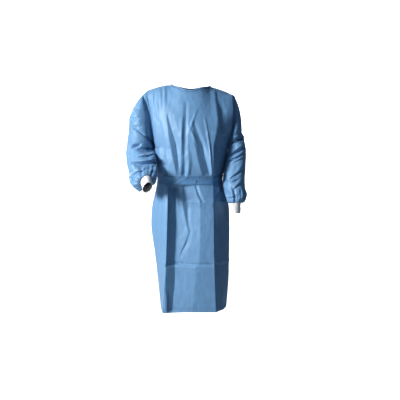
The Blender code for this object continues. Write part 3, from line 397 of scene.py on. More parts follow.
def share_of(angle):
    s = np.sin(angle)
    return np.sign(s) * np.abs(s) ** (2 / WIDE)


def through(f):
    """Points along the curve of a fold's or pleat's line."""
    t = np.linspace(0, 1, 13)[:, None]
    ends = np.array([[f.x1, f.z1], [f.x3, f.z3]])
    bend = 2 * np.array([f.x2, f.z2]) - ends.mean(axis=0)
    return (1 - t) ** 2 * ends[0] + 2 * t * (1 - t) * bend + t**2 * ends[1]


def beside(line, x, z):
    """How places lie to a line: their distance, the share of the line passed, their side and how far beyond."""
    best = np.full(x.shape, 9.0)
    away, along, side, beyond = (np.zeros(x.shape) for _ in range(4))
    last = len(line) - 2
    for i in range(last + 1):
        start, run = line[i], line[i + 1] - line[i]
        size = math.hypot(*run)
        s = ((x - start[0]) * run[0] + (z - start[1]) * run[1]) / size**2
        cross = ((x - start[0]) * run[1] - (z - start[1]) * run[0]) / size
        past = np.zeros(x.shape)
        if i == 0:
            past = np.maximum(past, -s * size)
        if i == last:
            past = np.maximum(past, (s - 1) * size)
        s = np.clip(s, 0, 1)
        direct = np.hypot(x - start[0] - s * run[0], z - start[1] - s * run[1])
        closer = direct < best
        best = np.where(closer, direct, best)
        away = np.where(closer, np.where(past > 0, np.abs(cross), direct), away)
        along = np.where(closer, (i + s) / (last + 1), along)
        side = np.where(closer, cross, side)
        beyond = np.where(closer, past, beyond)
    return away, along, side, beyond


def line_heights(lines, x, z, reach, profile):
    """Sum of the heights that the profile gives beside each line of a table, as seen square on."""
    total = np.zeros(np.broadcast(x, z).shape)
    for f in lines:
        line = through(f)
        low = line.min(axis=0) - reach(f)
        high = line.max(axis=0) + reach(f)
        near = (x > low[0]) & (x < high[0]) & (z > low[1]) & (z < high[1])
        if near.any():
            away, along, side, beyond = beside(line, x[near], z[near])
            total[near] += profile(f, away, along, side) * np.clip(1 - beyond / END_FADE, 0, 1)
    return total


def fold_profile(f, away, along, side):
    width = np.where(side > 0, f.before, f.after) * (1 + (f.taper - 1) * along)
    crisp_top = np.maximum(0, 1 - away / width)
    height = np.interp(along, [0, 0.5, 1], [f.h1, f.h2, f.h3]) / 1000
    return height * (ease(crisp_top) * (1 - f.sharp) + crisp_top * f.sharp)


def pleat_profile(f, away, along, side):
    width = np.interp(along, [0, 0.5, 1], [f.w1, f.w2, f.w3]) / 1000
    fall = width * f.steep
    rising = f.lift * fall * np.maximum(0, 1 - away / f.before)
    falling = f.lift * fall - f.steep * away
    coming_out = -(1 - f.lift) * fall * np.maximum(0, 1 - (away - width) / f.after)
    return np.where(side > 0, rising, np.where(away < width, falling, coming_out))


def fold_heights(folds, x, z):
    return line_heights(folds, x, z, lambda f: max(f.before, f.after) * max(1, f.taper), fold_profile)


def pleat_heights(pleats, x, z):
    return line_heights(pleats, x, z, lambda f: max(f.before, max(f.w1, f.w2, f.w3) / 1000 + f.after), pleat_profile)


def crumple(u, v, seed, height, size):
    """Small uneven facets of crisp cloth, from crossed waves with bent fronts."""
    rng = np.random.default_rng(seed)
    total = np.zeros(np.broadcast(u, v).shape)
    for i in range(9):
        turn = rng.uniform(0, math.pi)
        length = size * rng.uniform(0.6, 1.7)
        phase = rng.uniform(0, 2 * math.pi, 3)
        bend = 0.35 * size * np.sin((u * math.sin(turn) - v * math.cos(turn)) * 2.1 / size + phase[0])
        wave = (u * math.cos(turn) + v * math.sin(turn) + bend) * 2 * math.pi / length + phase[1]
        total += np.arcsin(np.sin(wave)) / (math.pi / 2) * length / size / 9
    return total * height


def smoothed(line, reach=24):
    """A line's rows, each averaged with its neighbours."""
    weights = np.hanning(2 * reach + 3)[1:-1]
    padded = np.concatenate([line[:1].repeat(reach, axis=0), line, line[-1:].repeat(reach, axis=0)])
    rows = [np.convolve(padded[:, i], weights / weights.sum(), "valid") for i in range(line.shape[1])]
    return unit(np.stack(rows, axis=-1))


def grid_normals(points):
    down = np.gradient(points, axis=0)
    across = np.gradient(points, axis=1)
    return unit(np.cross(down, across))


def tube_normals(points):
    """Outward normals of a tube of rings."""
    round_it = np.roll(points, -1, axis=1) - np.roll(points, 1, axis=1)
    along = np.gradient(points, axis=0)
    normal = unit(np.cross(round_it, along))
    middle = points.mean(axis=1, keepdims=True)
    flip = np.sign(((points - middle) * normal).sum())
    return normal * (1 if flip == 0 else flip)


def lengths(points, axis):
    """Distance run along a grid from its first row or column, averaged over the other direction."""
    step = np.linalg.norm(np.diff(points, axis=axis), axis=-1)
    step = step.mean(axis=1 - axis)
    return np.concatenate([[0], np.cumsum(step)])


# The body's cloth


def body_levels():
    belt_low = BELT_TOP_Z - BELT_WIDTH
    margin = 0.010
    chest = np.linspace(ARMPIT_Z, BELT_TOP_Z + margin, CHEST_ROWS, endpoint=False)
    belt = np.linspace(BELT_TOP_Z + margin, belt_low - margin, BELT_ROWS, endpoint=False)
    skirt = np.linspace(belt_low - margin, HEM_Z, SKIRT_ROWS + 1)
    return np.concatenate([chest, belt, skirt])


def crease_shares(z):
    return -section("crease_right", z) / section("right", z), section("crease_left", z) / section("left", z)


def spread(ends, steps):
    a, b = (angle_of(np.asarray(e, float)) for e in ends)
    t = np.linspace(0, 1, steps + 1)
    return share_of(a[..., None] + (b - a)[..., None] * t)


def joined(parts):
    return np.concatenate([parts[0]] + [p[..., 1:] for p in parts[1:]], axis=-1)


def front_depth(share, z):
    right, left = crease_shares(z)
    pressed_right, pressed_left = section("pressed_right", z), section("pressed_left", z)
    middle = np.clip((share - right) / (left - right), 0, 1)
    pressed = pressed_right + (pressed_left - pressed_right) * middle
    side = np.where(share < 0, (share + 1) / (right + 1), (1 - share) / (1 - left))
    side = np.clip(side, 0, 1)
    square = 0.985 * side + 0.22 * side * (1 - side)
    return section("front", z) * ((1 - pressed) * outline_depth(share) + pressed * square)


def body_point(share, z, back):
    width = np.where(share < 0, section("right", z), section("left", z))
    depth = section("back", z) * outline_depth(share) if back else -front_depth(share, z)
    hem = HEM_WAVE * ease((-0.9 - z) / 0.2) * np.where(share < 0, -share, 0) * (not back)
    return np.stack([share * width, depth, z - hem], axis=-1)


def neck_curve(turn, back):
    return -NECK_HALF * np.cos(turn), (NECK_BACK if back else NECK_FRONT) * np.sin(turn)


def yoke_point(x, rise_angle, right_width, left_width, back):
    share = x / np.where(x < 0, right_width, left_width)
    depth = section("back" if back else "front", ARMPIT_Z)
    reach = depth * outline_depth(share)
    if not back:
        reach = reach + (front_depth(share, ARMPIT_Z) - reach) * np.cos(rise_angle) ** 2
    y = reach * np.cos(rise_angle) * (1 if back else -1)
    z = ARMPIT_Z + (dome_height(x) - ARMPIT_Z) * np.sin(rise_angle)
    return np.stack([x, y, z], axis=-1)


def neck_angle(x, y, back):
    share = x / (armhole("left", 1.0) / armhole("share", 1.0))
    depth = section("back" if back else "front", ARMPIT_Z) * outline_depth(share)
    return np.arccos(np.clip(y / depth, 0, 1))


def yoke(low_share, x_top, angle_top, back):
    rise = ((1 - np.cos(np.pi * np.arange(YOKE_ROWS + 1) / YOKE_ROWS)) / 2)[1:]
    rows = []
    for r in rise[::-1]:
        edge = armhole("share", r)
        right, left = armhole("right", r) / edge, armhole("left", r) / edge
        low = np.where(low_share < 0, right, left) * low_share
        low = low * (1 - (1 - edge) * np.abs(low_share) ** 3)
        x = low + (x_top - low) * r**1.6
        rows.append(yoke_point(x, np.arcsin(r) * angle_top / (math.pi / 2), right, left, back))
    return np.array(rows)


def front_or_back(back):
    """Grid of the front or the whole back. Its columns run towards the wearer's left."""
    z = body_levels()
    ends = np.ones_like(z)
    to_neck = max(1, round(SIDE_STEPS / 6))
    if back:
        marks = (-NECK_HALF / section("right", z), NECK_HALF / section("left", z))
        side, middle = SIDE_STEPS + to_neck, 2 * BACK_NECK_STEPS
        neck_steps = middle
    else:
        marks = crease_shares(z)
        side, middle = SIDE_STEPS, MIDDLE_STEPS
        neck_steps = middle - 2 * to_neck
    if back:
        runs = [spread((-ends, marks[0]), side), spread((marks[0], 0 * ends), middle // 2),
                spread((0 * ends, marks[1]), middle // 2), spread((marks[1], ends), side)]
    else:
        runs = [spread((-ends, marks[0]), side), spread(marks, middle), spread((marks[1], ends), side)]
    low = joined(runs)
    body = body_point(low, np.repeat(z[:, None], low.shape[1], axis=1), back)
    neck_x, neck_y = neck_curve(np.linspace(0, math.pi, neck_steps + 1), back)
    tip = armhole("left", 1.0)
    seam = np.concatenate([np.linspace(tip, CREASE_AT_SHOULDER, SIDE_STEPS + 1),
                           np.linspace(CREASE_AT_SHOULDER, NECK_HALF, to_neck + 1)[1:]])[:-1]
    x_top = np.concatenate([-seam, neck_x, seam[::-1]])
    on_seam = np.full(len(seam), math.pi / 2)
    angle_top = np.concatenate([on_seam, neck_angle(neck_x, neck_y, back), on_seam])
    return np.concatenate([yoke(low[0], x_top, angle_top, back), body])


def dressed(points, folds, pleats, seed, back=False):
    """The grid with its folds and small crumples, held in under the belt and along its seams."""
    turn = -1 if back else 1
    normals = grid_normals(points) * turn
    x, z = points[..., 0], points[..., 2]
    height = fold_heights(folds, x * turn, z) + pleat_heights(pleats, x * turn, z)
    facing = ease((np.abs(normals[..., 1]) - 0.05) / 0.45)
    height = height * (0.25 + 0.75 * facing)
    near_belt = ease(1 - (np.abs(z - BELT_MIDDLE_Z) - BELT_WIDTH / 2) / 0.012)
    height = np.where(height > 0, height * (1 - near_belt), height * (1 - 0.45 * near_belt))
    across = lengths(points, 1)[None, :] + 0 * z
    height = height + crumple(across, z, seed, 0.0012, 0.055) * (1 - near_belt)
    height = height + crumple(across, z, seed + 1, 0.0005, 0.020) * (1 - near_belt)
    edge = np.minimum(np.arange(points.shape[1]), np.arange(points.shape[1])[::-1])
    top = np.arange(points.shape[0])
    hold = ease(edge / 2)[None, :] * ease(top / 6)[:, None]
    return points + normals * (height * hold)[..., None]


def hemmed(points, outside):
    """The grid with the cloth below its hem turned up inside, and where each row lies down the cloth."""
    down = lengths(points, 0)
    rows = [points[-1] - outside[-1] * 0.0012]
    for share in (0.25, 0.5, 0.75, 1.0):
        at = down[-1] - HEM_TURN * share
        i = int(np.searchsorted(down, at)) - 1
        t = (at - down[i]) / (down[i + 1] - down[i])
        inside = points[i] * (1 - t) + points[i + 1] * t - (outside[i] * (1 - t) + outside[i + 1] * t) * 0.0016
        rows.append(inside)
    return np.concatenate([points, np.array(rows)])


def hold_in(points, box):
    """Points kept inside the gown's own box."""
    low, high = np.array(box[0]), np.array(box[1])
    return np.clip(points, low - 0.004, high + 0.004)


# Sleeves


def sleeve_grid(rings, cuff, armhole_points):
    """Rings of a sleeve from its armhole to its cuff, with the place of each along the sleeve."""
    outer = np.array([[r.outer_x, r.outer_y, r.outer_z] for r in rings])
    inner = np.array([[r.inner_x, r.inner_y, r.inner_z] for r in rings])
    middle = (outer + inner) / 2
    run = np.linalg.norm(np.diff(middle, axis=0), axis=1) + 0.3 * np.linalg.norm(np.diff(outer, axis=0), axis=1)
    knots = np.concatenate([[0], np.cumsum(run)])
    knots /= knots[-1]
    at = np.linspace(0, 1, SLEEVE_ROWS)
    turn = math.pi - np.arange(SLEEVE_COLUMNS) * 2 * math.pi / SLEEVE_COLUMNS
    outer_at = smooth_curve(at, knots, outer)
    inner_at = smooth_curve(at, knots, inner)
    depth = smooth_curve(at, knots, np.array([r.depth for r in rings]))
    middle_at = (outer_at + inner_at) / 2
    along = unit(np.gradient(middle_at, axis=0))
    across = unit(outer_at - inner_at)
    front = unit(np.cross(along, across))
    front *= np.sign(front[:, 1:2] * -1)
    points = (
        middle_at[:, None]
        + (outer_at - inner_at)[:, None] / 2 * np.cos(turn)[None, :, None]
        + front[:, None] * depth[:, None, None] * np.sin(turn)[None, :, None]
    )
    shift = armhole_points[None] - points[:1]
    return at, turn, points + shift * (1 - ease(at / 0.16)[:, None, None])


def cuff_frame(cuff):
    axis = unit(np.array(cuff.axis))
    wide = np.array(cuff.wide)
    wide = unit(wide - axis * (wide @ axis))
    return np.array(cuff.centre), axis, wide, np.cross(axis, wide)


def middle_x(rings):
    return sum(r.outer_x + r.inner_x for r in rings)


def dressed_sleeve(rings, cuff, armhole_points, front_folds, front_pleats, back_folds, seed):
    at, turn, points = sleeve_grid(rings, cuff, armhole_points)
    normals = tube_normals(points)
    x, y, z = points[..., 0], points[..., 1], points[..., 2]
    seen = ease((-normals[..., 1] + 0.30) / 0.55)
    hidden = ease((normals[..., 1] + 0.30) / 0.55)
    height = fold_heights(front_folds, x, z) * seen + fold_heights(back_folds, -x, z) * hidden
    facing = ease(-normals[..., 1] / 0.4)
    to_body = -np.sign(middle_x(rings)) * normals[..., 0]
    forward = pleat_heights(front_pleats, x, z) * facing * (1 - 0.5 * ease((to_body - 0.6) / 0.4))
    around = turn[None, :] * 0.06
    run = at[:, None] * 0.62
    for k in range(4):
        spot = 0.02 * np.stack([np.cos(turn), np.sin(turn)])
        height = height + crumple(run + spot[0][None] * (k + 1), spot[1][None] * 3 + 0 * run,
                                  seed + k, 0.0010, 0.050) / 2
    start = ease(at / 0.05)[:, None]
    stop = ease((1 - at) / 0.05)[:, None]
    height = height * start * stop
    forward = forward * start * stop
    forward = np.where(forward > 0, RIDGE_LIMIT * np.tanh(forward / RIDGE_LIMIT), forward)
    near_cuff = ease((at[:, None] - 0.84) / 0.10)
    for count, size, phase in CUFF_GATHERS:
        height = height + size * np.cos(count * turn[None] + phase + 2 * at[:, None]) * near_cuff
    points = points + normals * height[..., None]
    points[..., 1] -= forward
    centre, axis, wide, narrow = cuff_frame(cuff)
    away = points[-1] - centre
    a, b = CUFF_HALF_WIDE + 0.0007, CUFF_HALF_NARROW + 0.0007
    angle = np.arctan2((away @ narrow) / b, (away @ wide) / a)
    end = centre + a * np.cos(angle)[:, None] * wide + b * np.sin(angle)[:, None] * narrow
    t = np.linspace(0, 1, END_ROWS + 1)[1:, None, None]
    knee = points[-1] * 0.62 + end * 0.38 + axis * 0.013
    finish = (1 - t) ** 2 * points[-1] + 2 * t * (1 - t) * knee + t**2 * end
    pleat = 0.0009 * np.cos(31 * turn + 0.8)[None, :] * (t[..., 0] * (1 - 0.6 * t[..., 0]))
    finish = finish + unit(finish - centre) * pleat[..., None]
    return np.concatenate([points, finish])


# Meshes


def mesh_from_grid(name, points, across, down, around=False, thickness=0.0006, outside=None):
    """A sheet of cloth from a flat grid bent to its points, with a UV map in metres and a thin wall."""
    rows, columns = points.shape[:2]
    if around:
        points = np.concatenate([points, points[:, :1]], axis=1)
        columns += 1
    bm = bmesh.new()
    bmesh.ops.create_grid(bm, x_segments=columns - 1, y_segments=rows - 1, size=1)
    place = {}
    for v in bm.verts:
        c = round((v.co.x + 1) / 2 * (columns - 1))
        r = round((1 - v.co.y) / 2 * (rows - 1))
        place[v] = (r, c)
        v.co = points[r, c]
    uv = bm.loops.layers.uv.new("cloth")
    for face in bm.faces:
        for loop in face.loops:
            r, c = place[loop.vert]
            loop[uv].uv = (across[c], -down[r])
    if around:
        bmesh.ops.remove_doubles(bm, verts=bm.verts, dist=1e-6)
    normals = tube_normals(points[:, :-1]) if around else outside
    bm.faces.ensure_lookup_table()
    r, c = rows // 2, (columns - 1) // 2
    wanted = Vector(normals[r, c])
    nearest = min(bm.faces, key=lambda f: (f.calc_center_median() - Vector(points[r, c])).length)
    nearest.normal_update()
    if nearest.normal.dot(wanted) < 0:
        bmesh.ops.reverse_faces(bm, faces=bm.faces)
    mesh = bpy.data.meshes.new(name)
    bm.to_mesh(mesh)
    bm.free()
    mesh.shade_smooth()
    piece = bpy.data.objects.new(name, mesh)
    bpy.context.collection.objects.link(piece)
    if thickness:
        wall = piece.modifiers.new("cloth thickness", "SOLIDIFY")
        wall.thickness = thickness
        wall.offset = -1
        wall.use_even_offset = False
    return piece


def add_piece(piece, replaces=()):
    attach(piece, "root")
    for node in replaces:
        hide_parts(node)
    return piece


# Materials


def node(tree, kind, place, **inputs):
    made = tree.nodes.new(kind)
    made.location = place
    for name, value in inputs.items():
        made.inputs[name.replace("_", " ")].default_value = value
    return made


def cloth_material(name, colour, settings, bond=True):
    """Smooth bonded cloth: fibre clouds in its colour, small bonded dots, and a soft sheen."""
    made = bpy.data.materials.new(name)
    made.use_nodes = True
    tree = made.node_tree
    link = tree.links.new
    shader = tree.nodes["Principled BSDF"]
    shader.inputs["Roughness"].default_value = settings.roughness
    shader.inputs["Sheen Weight"].default_value = 0.18
    shader.inputs["Sheen Roughness"].default_value = 0.45
    shader.inputs["Specular IOR Level"].default_value = 0.50
    place = node(tree, "ShaderNodeTexCoord", (-1300, 0))
    stretch = node(tree, "ShaderNodeMapping", (-1100, 200), Scale=(60, 60, 14))
    link(place.outputs["Object"], stretch.inputs["Vector"])
    clouds = node(tree, "ShaderNodeTexNoise", (-900, 200), Scale=1.0, Detail=4.0, Roughness=0.6)
    link(stretch.outputs["Vector"], clouds.inputs["Vector"])
    tones = node(tree, "ShaderNodeValToRGB", (-650, 200))
    tones.color_ramp.elements[0].position = 0.30
    tones.color_ramp.elements[1].position = 0.72
    tones.color_ramp.elements[0].color = (*(c * 0.93 for c in colour), 1)
    tones.color_ramp.elements[1].color = (*(min(1, c * 1.06) for c in colour), 1)
    link(clouds.outputs["Fac"], tones.inputs["Fac"])
    link(tones.outputs["Color"], shader.inputs["Base Color"])
    fibres = node(tree, "ShaderNodeTexNoise", (-900, -150), Scale=900.0, Detail=3.0, Roughness=0.7)
    link(place.outputs["Object"], fibres.inputs["Vector"])
    fuzz = node(tree, "ShaderNodeBump", (-400, -250), Strength=0.10, Distance=0.0003)
    link(fibres.outputs["Fac"], fuzz.inputs["Height"])
    last = fuzz
    if bond:
        cell = node(tree, "ShaderNodeMapping", (-1100, -450), Scale=(520, 520, 1), Rotation=(0, 0, 0.785))
        link(place.outputs["UV"], cell.inputs["Vector"])
        dots = node(tree, "ShaderNodeTexVoronoi", (-900, -450), Scale=1.0, Randomness=0.0)
        dots.voronoi_dimensions = "2D"
        link(cell.outputs["Vector"], dots.inputs["Vector"])
        press = node(tree, "ShaderNodeBump", (-200, -250), Strength=0.20, Distance=0.0002)
        link(dots.outputs["Distance"], press.inputs["Height"])
        link(fuzz.outputs["Normal"], press.inputs["Normal"])
        last = press
    link(last.outputs["Normal"], shader.inputs["Normal"])
    return made


def knit_material(name, colour):
    """White cotton rib: loops in columns over the ribs of the mesh."""
    made = bpy.data.materials.new(name)
    made.use_nodes = True
    tree = made.node_tree
    link = tree.links.new
    shader = tree.nodes["Principled BSDF"]
    shader.inputs["Roughness"].default_value = 0.9
    shader.inputs["Sheen Weight"].default_value = 0.25
    shader.inputs["Specular IOR Level"].default_value = 0.2
    place = node(tree, "ShaderNodeTexCoord", (-1300, 0))
    clouds = node(tree, "ShaderNodeTexNoise", (-900, 200), Scale=160.0, Detail=3.0)
    link(place.outputs["Object"], clouds.inputs["Vector"])
    tones = node(tree, "ShaderNodeValToRGB", (-650, 200))
    tones.color_ramp.elements[0].color = (*(c * 0.90 for c in colour), 1)
    tones.color_ramp.elements[1].color = (*colour, 1)
    link(clouds.outputs["Fac"], tones.inputs["Fac"])
    link(tones.outputs["Color"], shader.inputs["Base Color"])
    rows = node(tree, "ShaderNodeTexWave", (-900, -200), Scale=1.0, Distortion=1.5)
    rows.bands_direction = "Y"
    turn = node(tree, "ShaderNodeMapping", (-1100, -200), Scale=(900, 210, 1))
    link(place.outputs["UV"], turn.inputs["Vector"])
    link(turn.outputs["Vector"], rows.inputs["Vector"])
    loops = node(tree, "ShaderNodeBump", (-400, -200), Strength=0.5, Distance=0.0005)
    link(rows.outputs["Fac"], loops.inputs["Height"])
    link(loops.outputs["Normal"], shader.inputs["Normal"])
    return made


def plain_material(name, colour, roughness):
    made = bpy.data.materials.new(name)
    made.use_nodes = True
    tree = made.node_tree
    shader = tree.nodes["Principled BSDF"]
    shader.inputs["Roughness"].default_value = roughness
    place = node(tree, "ShaderNodeTexCoord", (-900, 0))
    grain = node(tree, "ShaderNodeTexNoise", (-700, 0), Scale=500.0, Detail=2.0)
    tree.links.new(place.outputs["Object"], grain.inputs["Vector"])
    tones = node(tree, "ShaderNodeValToRGB", (-500, 0))
    tones.color_ramp.elements[0].color = (*(c * 0.94 for c in colour), 1)
    tones.color_ramp.elements[1].color = (*colour, 1)
    tree.links.new(grain.outputs["Fac"], tones.inputs["Fac"])
    tree.links.new(tones.outputs["Color"], shader.inputs["Base Color"])
    return made


def stage_material(name, glow):
    """White paper. Only the camera sees its glow, so it adds no light to the gown."""
    made = bpy.data.materials.new(name)
    made.use_nodes = True
    tree = made.node_tree
    shader = tree.nodes["Principled BSDF"]
    shader.inputs["Base Color"].default_value = (0.55, 0.55, 0.55, 1)
    shader.inputs["Roughness"].default_value = 0.9
    shader.inputs["Emission Color"].default_value = (1, 1, 1, 1)
    path = tree.nodes.new("ShaderNodeLightPath")
    path.location = (-500, -200)
    strength = tree.nodes.new("ShaderNodeMath")
    strength.location = (-300, -200)
    strength.operation = "MULTIPLY"
    strength.inputs[1].default_value = glow
    tree.links.new(path.outputs["Is Camera Ray"], strength.inputs[0])
    tree.links.new(strength.outputs["Value"], shader.inputs["Emission Strength"])
    return made


# Settings


class GownCloth(bpy.types.PropertyGroup):
    cloth_colour: bpy.props.FloatVectorProperty(
        name="Cloth colour", description="Blue of the gown's cloth", subtype="COLOR", size=3,
        min=0, max=1, default=(0.186, 0.330, 0.500))
    belt_colour: bpy.props.FloatVectorProperty(
        name="Belt colour", description="Blue of the belt", subtype="COLOR", size=3,
        min=0, max=1, default=(0.140, 0.278, 0.455))
    binding_colour: bpy.props.FloatVectorProperty(
        name="Binding colour", description="Colour of the tape round the neck", subtype="COLOR", size=3,
        min=0, max=1, default=(0.190, 0.320, 0.490))
    cuff_colour: bpy.props.FloatVectorProperty(
        name="Cuff colour", description="White of the knitted cuffs", subtype="COLOR", size=3,
        min=0, max=1, default=(0.820, 0.795, 0.775))
    thread_colour: bpy.props.FloatVectorProperty(
        name="Thread colour", description="Colour of the sewing thread", subtype="COLOR", size=3,
        min=0, max=1, default=(0.180, 0.320, 0.500))
    # Lighter blue than the cloth: partly the thread's own colour, partly a painted highlight along the V of the bar
    # tack
    tack_thread_and_highlight_colour: bpy.props.FloatVectorProperty(
        name="Tack colour", description="Colour of the bar tack's thick thread", subtype="COLOR", size=3,
        min=0, max=1, default=(0.420, 0.560, 0.760))
    fastener_colour: bpy.props.FloatVectorProperty(
        name="Fastener colour", description="Colour of the hook and loop tape", subtype="COLOR", size=3,
        min=0, max=1, default=(0.740, 0.780, 0.820))
    thickness: bpy.props.FloatProperty(
        name="Cloth thickness", description="Thickness of the non-woven cloth", unit="LENGTH",
        min=0.0002, max=0.002, default=0.0006)
    roughness: bpy.props.FloatProperty(
        name="Roughness", description="How matt the cloth is", subtype="FACTOR", min=0, max=1, default=0.50)


def settings():
    return bpy.context.scene.gown_cloth


def get_material(kind):
    """The dressed material of a kind, made when it is first asked for."""
    name = "dressed_" + kind
    found = bpy.data.materials.get(name)
    if found:
        return found
    s = settings()
    if kind == "gown_cloth":
        return cloth_material(name, s.cloth_colour, s)
    if kind == "belt_cloth":
        return cloth_material(name, s.belt_colour, s)
    if kind == "binding_cloth":
        return cloth_material(name, s.binding_colour, s)
    if kind == "cuff_knit":
        return knit_material(name, s.cuff_colour)
    if kind == "thread":
        return plain_material(name, s.thread_colour, 0.7)
    # the bar tack's lighter blue is partly a painted highlight
    if kind == "tack":
        return plain_material(name, s.tack_thread_and_highlight_colour, 0.6)
    return plain_material(name, s.fastener_colour, 0.9)


def flat_size(points, around=False):
    """Width and length of a grid laid flat, and its area."""
    loop = np.concatenate([points, points[:, :1]], axis=1) if around else points
    across = np.linalg.norm(np.diff(loop, axis=1), axis=-1)
    down = np.linalg.norm(np.diff(loop, axis=0), axis=-1)
    area = float((((across[1:] + across[:-1]) / 2) * ((down[:, 1:] + down[:, :-1]) / 2)).sum())
    return float(across.sum(axis=1).max()), float(down.sum(axis=0).max()), area


def declare_sheet(points, around=False):
    wide, long, area = flat_size(points, around)
    wide, long = round(wide, 4), round(long, 4)


def gown_grids():
    """Dressed grids of the front, the whole back and the two back panels."""
    plain_front, plain_back = front_or_back(False), front_or_back(True)
    front = dressed(plain_front, FRONT_FOLDS, FRONT_PLEATS, 11)
    back = dressed(plain_back, BACK_FOLDS, (), 23, back=True)
    facing = -grid_normals(back)
    to_neck = max(1, round(SIDE_STEPS / 6))
    centre = SIDE_STEPS + to_neck + BACK_NECK_STEPS
    end = centre + OVERLAP_STEPS
    columns = np.arange(back.shape[1])
    under = ease((end + 3.5 - columns) / 3.5)[None, :, None]
    right = back[:, : end + 1]
    left = (back - facing * LAP_DEPTH * under)[:, centre - OVERLAP_STEPS :]
    return plain_front, plain_back, front, right, left


def armhole_ring(front, back, side):
    """Points round an armhole, resampled evenly from the panels' edges."""
    edge = 0 if side == "right" else -1
    up = front[YOKE_ROWS::-1, edge]
    down = back[0 : YOKE_ROWS + 1, edge]
    loops = []
    for run in (up, down):
        reach = np.concatenate([[0], np.cumsum(np.linalg.norm(np.diff(run, axis=0), axis=1))])
        rise = np.linspace(0, math.pi, SLEEVE_COLUMNS // 2 + 1)
        order = np.arange(len(run)) * math.pi / (len(run) - 1)
        loops.append(np.stack([np.interp(rise, order, run[:, i]) for i in range(3)], axis=-1))
    return np.concatenate([loops[0], loops[1][1:-1]])


class GOWN_OT_body(bpy.types.Operator):
    """Front and back panels"""

    bl_idname = "gown.body"
    bl_label = "Body panels"

    def execute(self, context):
        s = settings()
        plain_front, plain_back, front, right, left = gown_grids()
        for name, points, facing in (
            ("gown_front", front, grid_normals(front)),
            ("gown_back_right", right, -grid_normals(right)),
            ("gown_back_left", left, -grid_normals(left)),
        ):
            across = lengths(points, 1)
            points = hold_in(hemmed(points, facing), CAD_BOX)
            piece = mesh_from_grid(name, points, across, lengths(points, 0), thickness=s.thickness,
                                   outside=facing)
            piece.data.materials.append(get_material("gown_cloth"))
            node_name = {"gown_front": "front", "gown_back_right": "back_right", "gown_back_left": "back_left"}[name]
            add_piece(piece, [node_name])
            declare_sheet(points)
        return {"FINISHED"}


def sleeve_of(side):
    """Dressed grid of one sleeve."""
    front, right, left = gown_grids()[2:]
    if side == "right":
        ring = armhole_ring(front, right, side)
        points = dressed_sleeve(RIGHT_RINGS, RIGHT_CUFF, ring, RIGHT_SLEEVE_FRONT, RIGHT_SLEEVE_PLEATS,
                                RIGHT_SLEEVE_BACK, 41)
    else:
        ring = armhole_ring(front, left, side)
        points = dressed_sleeve(LEFT_RINGS, LEFT_CUFF, ring, LEFT_SLEEVE_FRONT, LEFT_SLEEVE_PLEATS,
                                LEFT_SLEEVE_BACK, 57)
    return hold_in(points, CAD_BOX)


class GOWN_OT_sleeves(bpy.types.Operator):
    """Both sleeves"""

    bl_idname = "gown.sleeves"
    bl_label = "Sleeves"

    def execute(self, context):
        s = settings()
        for side in ("right", "left"):
            points = sleeve_of(side)
            round_it = np.concatenate([points, points[:, :1]], axis=1)
            piece = mesh_from_grid(f"gown_sleeve_{side}", points, lengths(round_it, 1), lengths(points, 0),
                                   around=True, thickness=s.thickness)
            piece.data.materials.append(get_material("gown_cloth"))
            add_piece(piece, [f"sleeve_{side}"])
            declare_sheet(points, around=True)
        return {"FINISHED"}


class GOWN_OT_cuffs(bpy.types.Operator):
    """Knitted cuffs"""

    bl_idname = "gown.cuffs"
    bl_label = "Cuffs"

    def execute(self, context):
        for side, cuff in (("right", RIGHT_CUFF), ("left", LEFT_CUFF)):
            centre, axis, wide, narrow = cuff_frame(cuff)
            ribs, columns = 40, 240
            turn = np.arange(columns) * 2 * math.pi / columns
            down = np.linspace(-0.004, CUFF_LENGTH, 34)
            rib = 0.0008 * (np.cos(ribs * turn) - 1) / 2
            rows = []
            for d in down:
                on = ease((d - 0.002) / 0.006)
                slack = 0.0008 * math.sin(95 * d + 1) + 0.0007 * math.sin(210 * d)
                flare = -0.0006 * ease((d - CUFF_LENGTH + 0.010) / 0.010)
                uneven = 0.0006 * np.sin(3 * turn + 60 * d) * on
                a = CUFF_HALF_WIDE + rib * on + slack * on + flare + uneven
                b = CUFF_HALF_NARROW + rib * on + slack * on + flare + uneven
                rows.append(centre + axis * d + (a * np.cos(turn))[:, None] * wide
                            + (b * np.sin(turn))[:, None] * narrow)
            points = np.array(rows)
            round_it = np.concatenate([points, points[:, :1]], axis=1)
            piece = mesh_from_grid(f"gown_cuff_{side}", points, lengths(round_it, 1), lengths(points, 0),
                                   around=True, thickness=0.0014)
            piece.data.materials.append(get_material("cuff_knit"))
            add_piece(piece, [f"cuff_{side}"])
            declare_sheet(points, around=True)
        return {"FINISHED"}


def belt_grid():
    """Grid of the belt round the waist."""
    plain_front, plain_back = front_or_back(False), front_or_back(True)
    z = body_levels()
    front_rows = plain_front[YOKE_ROWS:]
    back_rows = plain_back[YOKE_ROWS:]
    ring = np.concatenate([front_rows, back_rows[:, ::-1][:, 1:-1]], axis=1)
    levels = np.linspace(BELT_TOP_Z, BELT_TOP_Z - BELT_WIDTH, 19)
    order = np.argsort(z)
    band = np.empty((len(levels), ring.shape[1], 3))
    for c in range(ring.shape[1]):
        for i in range(3):
            band[:, c, i] = np.interp(levels, z[order], ring[order, c, i])
    facing = tube_normals(band)
    along = np.cumsum(np.linalg.norm(np.diff(band[9], axis=0, prepend=band[9][:1]), axis=1))
    across = (BELT_MIDDLE_Z - levels)[:, None]
    x = band[..., 0]
    on_front = (band[..., 1] < 0)
    lift = 0.0016 + 0.0006 * np.sin(along * 21)[None, :] * np.sin(across * 60 + 1)
    twist = fold_heights(BELT_FOLDS, np.where(on_front, x, 9.0), band[..., 2])
    lift = lift + twist + crumple(along[None, :] + 0 * across, across + 0 * along[None, :], 71, 0.0006, 0.035)
    band = band + facing * np.maximum(lift, 0.0009)[..., None]
    wave = 0.0012 * np.sin(along * 13 + 0.5) + 0.0008 * np.sin(along * 31)
    band[..., 2] += wave[None, :]
    return band


